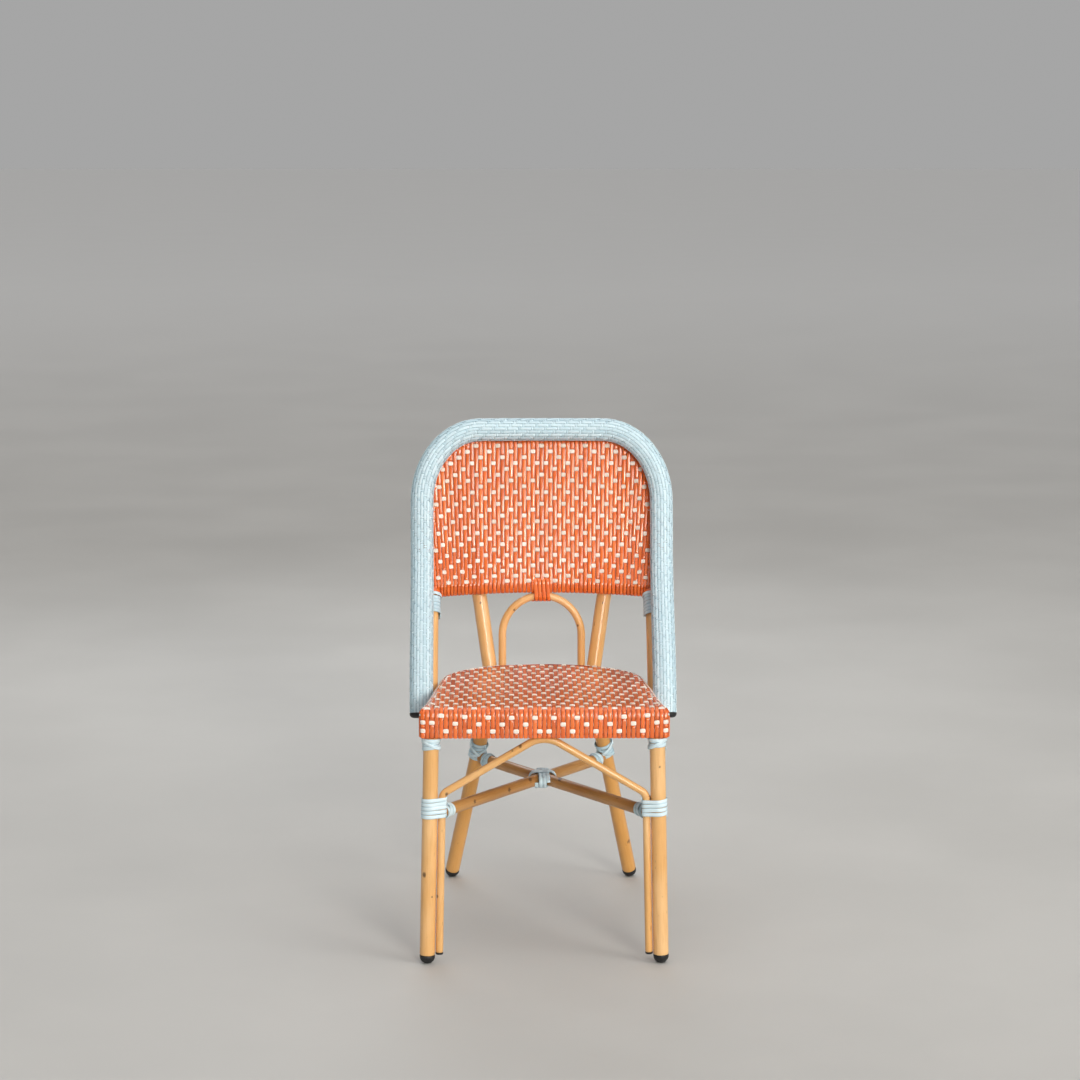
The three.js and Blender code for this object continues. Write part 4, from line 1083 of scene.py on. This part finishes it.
# Lashings
def hull_of(places):
    """The convex outline of places, turning left."""
    ordered = sorted(map(tuple, places))

    def chain(places):
        kept = []
        for place in places:
            while len(kept) > 1:
                (ax, ay), (bx, by) = kept[-2], kept[-1]
                if (bx - ax) * (place[1] - ay) - (by - ay) * (place[0] - ax) > 1e-9:
                    break
                kept.pop()
            kept.append(place)
        return kept[:-1]

    return np.array(chain(ordered) + chain(ordered[::-1]))


def loop_round(circles, growth):
    """A closed loop round circles (x, y, radius), clear of them by a growth."""
    ring = round_section(120)
    loop = hull_of(np.vstack([ring * (radius + growth) + (x, y) for x, y, radius in circles]))
    return resampled(np.vstack([loop, loop[:1]]), 1.2)[:-1]


def placing(middle, climb, across):
    """A lashing's own directions (x, y, climb), as rows, and its middle."""
    climb = unit(np.asarray(climb, float))
    local = square_to(across, climb)
    return np.array([local, np.cross(climb, local), climb]), middle


def wound(skin, place, circles, turns, pitch, width=LASH_WIDTH, growth=0.3, lean=0.0,
          spread=0.35):
    """A flat strand wound round circles, with the small wanderings of hand work."""
    basis, middle = place
    loop = loop_round(circles, growth + LASH_THICK / 2)
    count = len(loop)
    steps = np.arange(int(round(turns * count)) + 1)
    share = steps / count
    flat = loop[steps % count]
    ahead, before = loop[(steps + 1) % count], loop[(steps - 1) % count]
    out = unit(np.stack([ahead[:, 1] - before[:, 1], before[:, 0] - ahead[:, 0]], 1))
    waver = 0
    for rate in (0.31, 0.83, 1.7):
        reach = draws.uniform(-1, 1)
        waver = waver + reach * np.sin(2 * math.pi * (share * rate + draws.uniform()))
    climb = pitch * (share - turns / 2) + spread * waver + lean * flat[:, 0]
    route = np.column_stack([flat, climb]) @ basis + middle
    keep = np.unique(np.r_[np.arange(0, len(route), 2), len(route) - 1])
    skin.strand(route[keep], (out @ basis[:2])[keep], width, LASH_THICK)


def lash(node, windings, look=None):
    skin = Skin()
    for *winding, extra in windings:
        wound(skin, *winding, **extra)
    skin.build(node + "_strand", look or BLUE)


LEG_CIRCLE = (0, 0, LEG_RADIUS)
POLE_CIRCLE = (0, 0, STRETCHER_RADIUS)


def leg_lashings(side, label):
    inward = (-side, 0, 0)

    def on_leg(place, way):
        return placing(handed(side, place), handed(side, way), inward)

    top, under = (on_leg(on_front_leg(height), FRONT_WAY) for height in LEG_TOP_LASHING)
    lash(f"leg_top_lashing_{label}", [
        (top, [LEG_CIRCLE], 2.0, 7.2, {"lean": 0.1}),
        (top, [LEG_CIRCLE], 1.1, 3.0, {"growth": 1.9, "lean": -0.42, "width": 6.0}),
        (under, [LEG_CIRCLE], 1.05, 0.0, {"growth": 1.8, "width": 6.4, "spread": 0.1}),
    ])
    front = on_leg(on_front_leg(FRONT_LASHING), FRONT_WAY)
    both = [LEG_CIRCLE, (BRACE_STEP, 0, BRACE_RADIUS)]
    lash(f"front_lashing_{label}", [(front, both, 4.5, 7.1, {"spread": 0.5})])
    rear = on_leg(on_rear_leg(REAR_LASHING), REAR_WAY)
    lash(f"rear_lashing_{label}", [
        (rear, [LEG_CIRCLE], 4.4, 7.3, {}),
        (rear, [LEG_CIRCLE], 1.1, 5.0, {"growth": 1.9, "lean": 0.75, "width": 6.2}),
        (rear, [LEG_CIRCLE], 1.1, 5.0, {"growth": 3.3, "lean": -0.7, "width": 6.2}),
    ])


def pole_lashings(side, label):
    wrap = LEG_RADIUS + 2.2 + LASH_WIDTH / 2
    brace_side = wrap + 2 * BRACE_RADIUS + 4.5
    for end, joint, start in (("front", FRONT_JOINT, brace_side), ("rear", REAR_JOINT, wrap + 9)):
        joint = handed(side, joint)
        way = unit(CROSSING - joint)
        middle = joint + way * (start + 9.75)
        lash(f"{end}_pole_lashing_{label}", [
            (placing(middle, way, (0, 0, 1)), [POLE_CIRCLE], 2.9, 7.2, {}),
            (placing(middle - way * 4, way, (0, 0, 1)), [POLE_CIRCLE], 1.0, 2.0,
             {"growth": 1.9, "lean": 0.4, "width": 6.0}),
        ])


def corner_lashing(side, label):
    low, high = (handed(side, on_back(float(frame_half_at(z)), z, frame_setback(z)))
                 for z in CORNER_LASHING)
    middle = (low + high) / 2
    place, under = (placing(middle + (high - middle) * share, high - low, (side, 0, 0))
                    for share in (0, 0.9))
    round_frame = [(0, 0, FRAME_RADIUS + 0.3)]
    lash(f"corner_lashing_{label}", [
        (place, round_frame, 5.4, 6.95, {"growth": 2.2, "spread": 0.25}),
        (under, round_frame, 1.05, 0.0, {"growth": 3.7, "width": 6.4, "spread": 0.1}),
    ])


def crossing_lashings():
    angle = math.atan2(FRONT_JOINT[0] + REAR_JOINT[0], REAR_JOINT[1] - FRONT_JOINT[1])
    band = (2.6 * LASH_PITCH + LASH_WIDTH) / 2
    radius = STRETCHER_RADIUS
    front = radius / math.sin(angle) + band / math.tan(angle) - radius
    side = radius / math.cos(angle) + band * math.tan(angle) - radius
    for name, climb, across, reach, radius in (
        ("inner", (1, 0, 0), (0, 1, 0), front, radius),
        ("outer", (0, 1, 0), (1, 0, 0), side, radius + 1.7),
    ):
        circles = [(-reach, 0, radius), (reach, 0, radius)]
        place = placing(CROSSING, climb, across)
        lash("crossing_lashing_" + name, [(place, circles, 3.0, 7.0, {})])


def arch_binding():
    rail = on_back(0.0, RAIL_HEIGHT, RAIL_SETBACK)
    arch_top = point(0, ARCH_DEPTHS[1], ARCH_TOP) - rail
    circles = [(0, 0, 11.0), (arch_top[2], -arch_top[1], 9.0)]
    place = placing(rail, (1, 0, 0), (0, 0, 1))
    lash("arch_binding", [(place, circles, 4.5, 7.3, {"spread": 0.2, "width": 7.0})], ORANGE)


# Materials
def linear(code):
    """A colour code as linear light."""
    values = [int(code[start:start + 2], 16) / 255 for start in (0, 2, 4)]
    return [v / 12.92 if v <= 0.04045 else ((v + 0.055) / 1.055) ** 2.4 for v in values] + [1.0]


class Finish:
    """A node material in the making. Colours are codes or sockets."""

    def __init__(self, name):
        self.material = bpy.data.materials.new(name)
        self.material.use_nodes = True
        self.tree = self.material.node_tree
        self.tree.nodes.clear()
        self.shader = self.node("ShaderNodeBsdfPrincipled")
        output = self.node("ShaderNodeOutputMaterial")
        self.link(self.shader.outputs[0], output.inputs[0])

    def node(self, kind, sockets=None, **values):
        """A node, with values or links for its input sockets by name or number."""
        made = self.tree.nodes.new(kind)
        for key, value in values.items():
            setattr(made, key, value)
        for key, value in (sockets or {}).items():
            if isinstance(value, bpy.types.NodeSocket):
                self.link(value, made.inputs[key])
            else:
                made.inputs[key].default_value = value
        return made

    def link(self, source, target):
        self.tree.links.new(source, target)

    def attributes(self):
        """The grain, tone and mark that Skin.strip writes."""
        made = [self.node("ShaderNodeAttribute", attribute_name=name)
                for name in ("grain", "tone", "mark")]
        return made[0].outputs["Vector"], made[1].outputs["Fac"], made[2].outputs["Fac"]

    def place(self):
        return self.node("ShaderNodeTexCoord").outputs["Object"]

    def part(self, vector, number):
        return self.node("ShaderNodeSeparateXYZ", {0: vector}).outputs[number]

    def stretched(self, vector, scale):
        return self.node("ShaderNodeMapping", {"Vector": vector, "Scale": scale}).outputs[0]

    def shifted(self, vector, amount, distance):
        """Moves a texture's place by an amount that differs from strand to strand."""
        moved = self.maths("MULTIPLY", amount, distance)
        steps = self.node("ShaderNodeCombineXYZ", {0: moved, 1: moved, 2: moved}).outputs[0]
        return self.node("ShaderNodeVectorMath", {0: vector, 1: steps}, operation="ADD").outputs[0]

    def noise(self, vector, scale, detail=3.0):
        sockets = {"Vector": vector, "Scale": scale, "Detail": detail, "Roughness": 0.55}
        return self.node("ShaderNodeTexNoise", sockets).outputs["Fac"]

    def maths(self, operation, first, second):
        return self.node("ShaderNodeMath", {0: first, 1: second}, operation=operation).outputs[0]

    def ranged(self, value, low, high, start=0.0, end=1.0):
        sockets = {"Value": value, "From Min": low, "From Max": high, "To Min": start,
                   "To Max": end}
        return self.node("ShaderNodeMapRange", sockets, interpolation_type="SMOOTHSTEP").outputs[0]

    def mixed(self, shade, code, value, low, high, end=1.0, start=0.0):
        """A shade, mixed with a colour: its share goes from start to end as a value rises."""
        share = self.ranged(value, low, high, start, end)
        first = linear(shade) if isinstance(shade, str) else shade
        sockets = {0: share, 6: first, 7: linear(code)}
        return self.node("ShaderNodeMix", sockets, data_type="RGBA").outputs[2]

    def bump(self, height, distance, strength, below=None):
        sockets = {"Distance": distance, "Strength": strength, "Height": height}
        if below is not None:
            sockets["Normal"] = below
        return self.node("ShaderNodeBump", sockets).outputs[0]

    def finish(self, colour, roughness, normal, **constants):
        self.link(colour, self.shader.inputs["Base Color"])
        self.link(roughness, self.shader.inputs["Roughness"])
        self.link(normal, self.shader.inputs["Normal"])
        for name, value in constants.items():
            self.shader.inputs[name.replace("_", " ")].default_value = value
        return self.material


def strand_finish(name, base, light, dark, gloss, painted_edge_shade, shine=0.5):
    """Flat plastic strand: fine lengthwise ridges, painted shade on its edges and underside, tone
    by strand, worn crowns.
    """
    made = Finish(name)
    grain, tone, mark = made.attributes()
    moved = made.shifted(grain, tone, 0.37)
    streaks = made.noise(made.stretched(moved, (1.0, 0.2, 0.045)), 900.0)
    ridges = made.noise(made.stretched(moved, (1.0, 0.0, 0.004)), 1500.0, 1.0)
    patches = made.noise(moved, 22.0)
    shade = made.mixed(base, light, streaks, 0.35, 0.7)
    shade = made.mixed(shade, dark, tone, -1.0, 1.0, 0.3)
    shade = made.mixed(shade, light, patches, 0.56, 0.72, 0.28)
    # Painted shade: the mark darkens the strand's edges and underside towards the dark colour
    shade = made.mixed(shade, dark, mark, 0.74, 1.0, painted_edge_shade)
    rough = made.ranged(patches, 0.3, 0.75, gloss - 0.05, gloss + 0.12)
    bump = made.bump(streaks, 0.0001, 0.5, made.bump(ridges, 0.00025, 0.6))
    return made.finish(shade, rough, bump, Specular_IOR_Level=shine)


def pole_finish(name, base="E3AD6A", light="F0C186", fibre="CD904E", low=None, coat=0.35):
    """Honey paint over metal: grain, flecks, scorch marks, and, if given, a darker low part that
    is painted shade.
    """
    made = Finish(name)
    grain, tone, mark = made.attributes()
    moved = made.shifted(grain, tone, 0.53)
    fibres = made.noise(made.stretched(moved, (1.0, 1.0, 0.05)), 420.0, 4.0)
    bands = made.noise(made.stretched(moved, (0.6, 0.6, 0.35)), 16.0)
    flecks = made.noise(made.stretched(moved, (1.0, 1.0, 0.16)), 260.0, 2.0)
    shade = made.mixed(base, light, bands, 0.35, 0.68)
    shade = made.mixed(shade, fibre, fibres, 0.45, 0.75, 0.4)
    if low:
        # Painted shade: the pole darkens below about 0.4 m, where the seat shades the rear legs
        shade = made.mixed(shade, low, made.part(made.place(), 2), 0.36, 0.5, 0.0, 0.7)
    shade = made.mixed(shade, "7A4A22", flecks, 0.7, 0.78, 0.65)
    wobble = made.maths("MULTIPLY", made.maths("SUBTRACT", fibres, 0.5), 0.9)
    shade = made.mixed(shade, "4A2A14", made.maths("ADD", mark, wobble), 0.42, 0.85, 0.82)
    rough = made.ranged(bands, 0.3, 0.7, 0.28, 0.42)
    bump = made.bump(fibres, 0.00018, 0.5)
    return made.finish(shade, rough, bump, Coat_Weight=coat, Coat_Roughness=0.18)


def plastic_finish():
    """Black moulded plastic: fine texture, dust and scuffs."""
    made = Finish("black_moulded_plastic")
    place = made.place()
    dust = made.noise(place, 160.0, 4.0)
    shade = made.mixed("17181A", "4A4844", dust, 0.5, 0.75, 0.4)
    rough = made.ranged(dust, 0.35, 0.7, 0.38, 0.62)
    return made.finish(shade, rough, made.bump(made.noise(place, 1400.0, 2.0), 0.0001, 0.4))


def bare_finish():
    """Bare aluminium tube: drawn lines, dull patches."""
    made = Finish("bare_aluminium_tube")
    place = made.place()
    patches = made.noise(place, 45.0, 4.0)
    lines = made.noise(made.stretched(place, (0.2, 0.2, 1.0)), 900.0, 2.0)
    shade = made.mixed("8E9092", "B4B6B8", patches, 0.35, 0.7)
    rough = made.ranged(patches, 0.3, 0.7, 0.34, 0.55)
    return made.finish(shade, rough, made.bump(lines, 0.0001, 0.3), Metallic=0.9)


def floor_finish():
    """Pale studio floor, lighter far behind the chair, where less light falls."""
    made = Finish("pale_studio_floor")
    place = made.place()
    cloud = made.noise(place, 1.6, 4.0)
    shade = made.mixed("C3C1BD", "C9C7C3", cloud, 0.3, 0.7)
    shade = made.mixed(shade, "E4E3E1", made.part(place, 1), 3.0, 18.0)
    rough = made.ranged(cloud, 0.3, 0.7, 0.62, 0.74)
    return made.finish(shade, rough, made.bump(cloud, 0.0004, 0.2))


# Looks: a finish, and the record's slot that it stands for
ORANGE = (strand_finish("orange_strand_plastic", "E8631F", "F58136", "8F2E0B", 0.2, 0.9, 0.9),
          "orange_strand")
WHITE = (strand_finish("white_strand_plastic", "F0E3D7", "FFF6EC", "A98767", 0.3, 0.45),
         "white_strand")
BLUE = (strand_finish("blue_strand_plastic", "D3EAF3", "E4F3F9", "3F849C", 0.42, 0.6),
        "blue_strand")
POLE = (pole_finish("honey_pole_paint"), "pole_paint")
# Painted shade: the rear legs' paint, darker low down where the seat shades them
LOW_SHADED_POLE = (pole_finish("honey_paint_low_painted_shade", low="D0923F"), "pole_paint")
# Painted shade: a darker copy of the honey paint for the stretchers, which lie in the seat's shade
SHADED_STRETCHER_POLE = (pole_finish("honey_paint_stretcher_painted_shade", "B78246", "C79456", "986431", coat=0.15), "pole_paint")
BLACK = (plastic_finish(), "black_plastic")
BARE = (bare_finish(), "bare_tube")


# Stage
def placed(name, data, place, turn):
    made = bpy.data.objects.new(name, data)
    made.location, made.rotation_euler = place, turn
    bpy.context.scene.collection.objects.link(made)
    return made


def world():
    """A world that is grey at the horizon, dim above it and bright overhead."""
    made = bpy.data.worlds.new("studio_world")
    made.use_nodes = True
    tree = made.node_tree
    ramp = tree.nodes.new("ShaderNodeValToRGB")
    stops = ramp.color_ramp.elements
    stops[0].position, stops[1].position = 0.04, 0.8
    for place in (0.1, 0.5):
        stops.new(place)
    for stop, light in zip(stops, (0.38, 0.1, 0.1, 0.82)):
        stop.color = (light, light, light, 1)
    way = tree.nodes.new("ShaderNodeSeparateXYZ")
    tree.links.new(tree.nodes.new("ShaderNodeTexCoord").outputs["Generated"], way.inputs[0])
    tree.links.new(way.outputs["Z"], ramp.inputs[0])
    tree.links.new(ramp.outputs[0], tree.nodes["Background"].inputs[0])
    bpy.context.scene.world = made


def studio():
    bpy.ops.mesh.primitive_plane_add(size=120, location=(0, 0, 0))
    floor = bpy.context.object
    floor.name = "studio_floor"
    floor.data.materials.append(floor_finish())
    world()
    for name, place, height, size, power, spread, colour in (
        ("key", (6.4, -18.9, 5.5), 0.6, (5.6, 6.2), 140, 40, (1.0, 0.965, 0.9)),
        ("side", (10.0, -6.8, 5.2), 0.6, (5.2, 4.4), 500, 180, (1.0, 0.98, 0.95)),
        ("top", (0.6, -0.8, 3.4), 0.5, (2.4, 2.4), 12, 180, (1.0, 0.98, 0.95)),
        ("rim", (-0.6, 2.9, 2.4), 0.6, (2.0, 1.4), 25, 180, (0.92, 0.96, 1.0)),
    ):
        lamp = bpy.data.lights.new(name, "AREA")
        lamp.shape, lamp.energy, lamp.color = "RECTANGLE", power, colour
        lamp.size, lamp.size_y = size
        lamp.spread = math.radians(spread)
        aim = Vector((0, 0, height)) - Vector(place)
        turn = aim.to_track_quat("-Z", "Y").to_euler()
        placed(name, lamp, place, turn).visible_camera = False


def camera():
    made = bpy.data.cameras.new("camera")
    made.sensor_width, made.lens, made.clip_end = 36, CAMERA_LENS, 60
    turn = (math.radians(90 - CAMERA_DOWN), 0, math.radians(CAMERA_TURN))
    bpy.context.scene.camera = placed("camera", made, CAMERA_PLACE, turn)
    bpy.context.scene.view_settings.view_transform = "Standard"


camera()
studio()
for make in (seat, back_panel, hoop, front_legs, rear_legs, brace, stretchers, arch, back_frame,
             seat_rings, feet):
    make()
for hand, word in SIDES:
    leg_lashings(hand, word)
    pole_lashings(hand, word)
    corner_lashing(hand, word)
crossing_lashings()
arch_binding()
for hidden in ("hoop_core", "back_lower_rail"):
    frame["nodes"][hidden].data.materials.clear()
    frame["nodes"][hidden].data.materials.append(BARE[0])
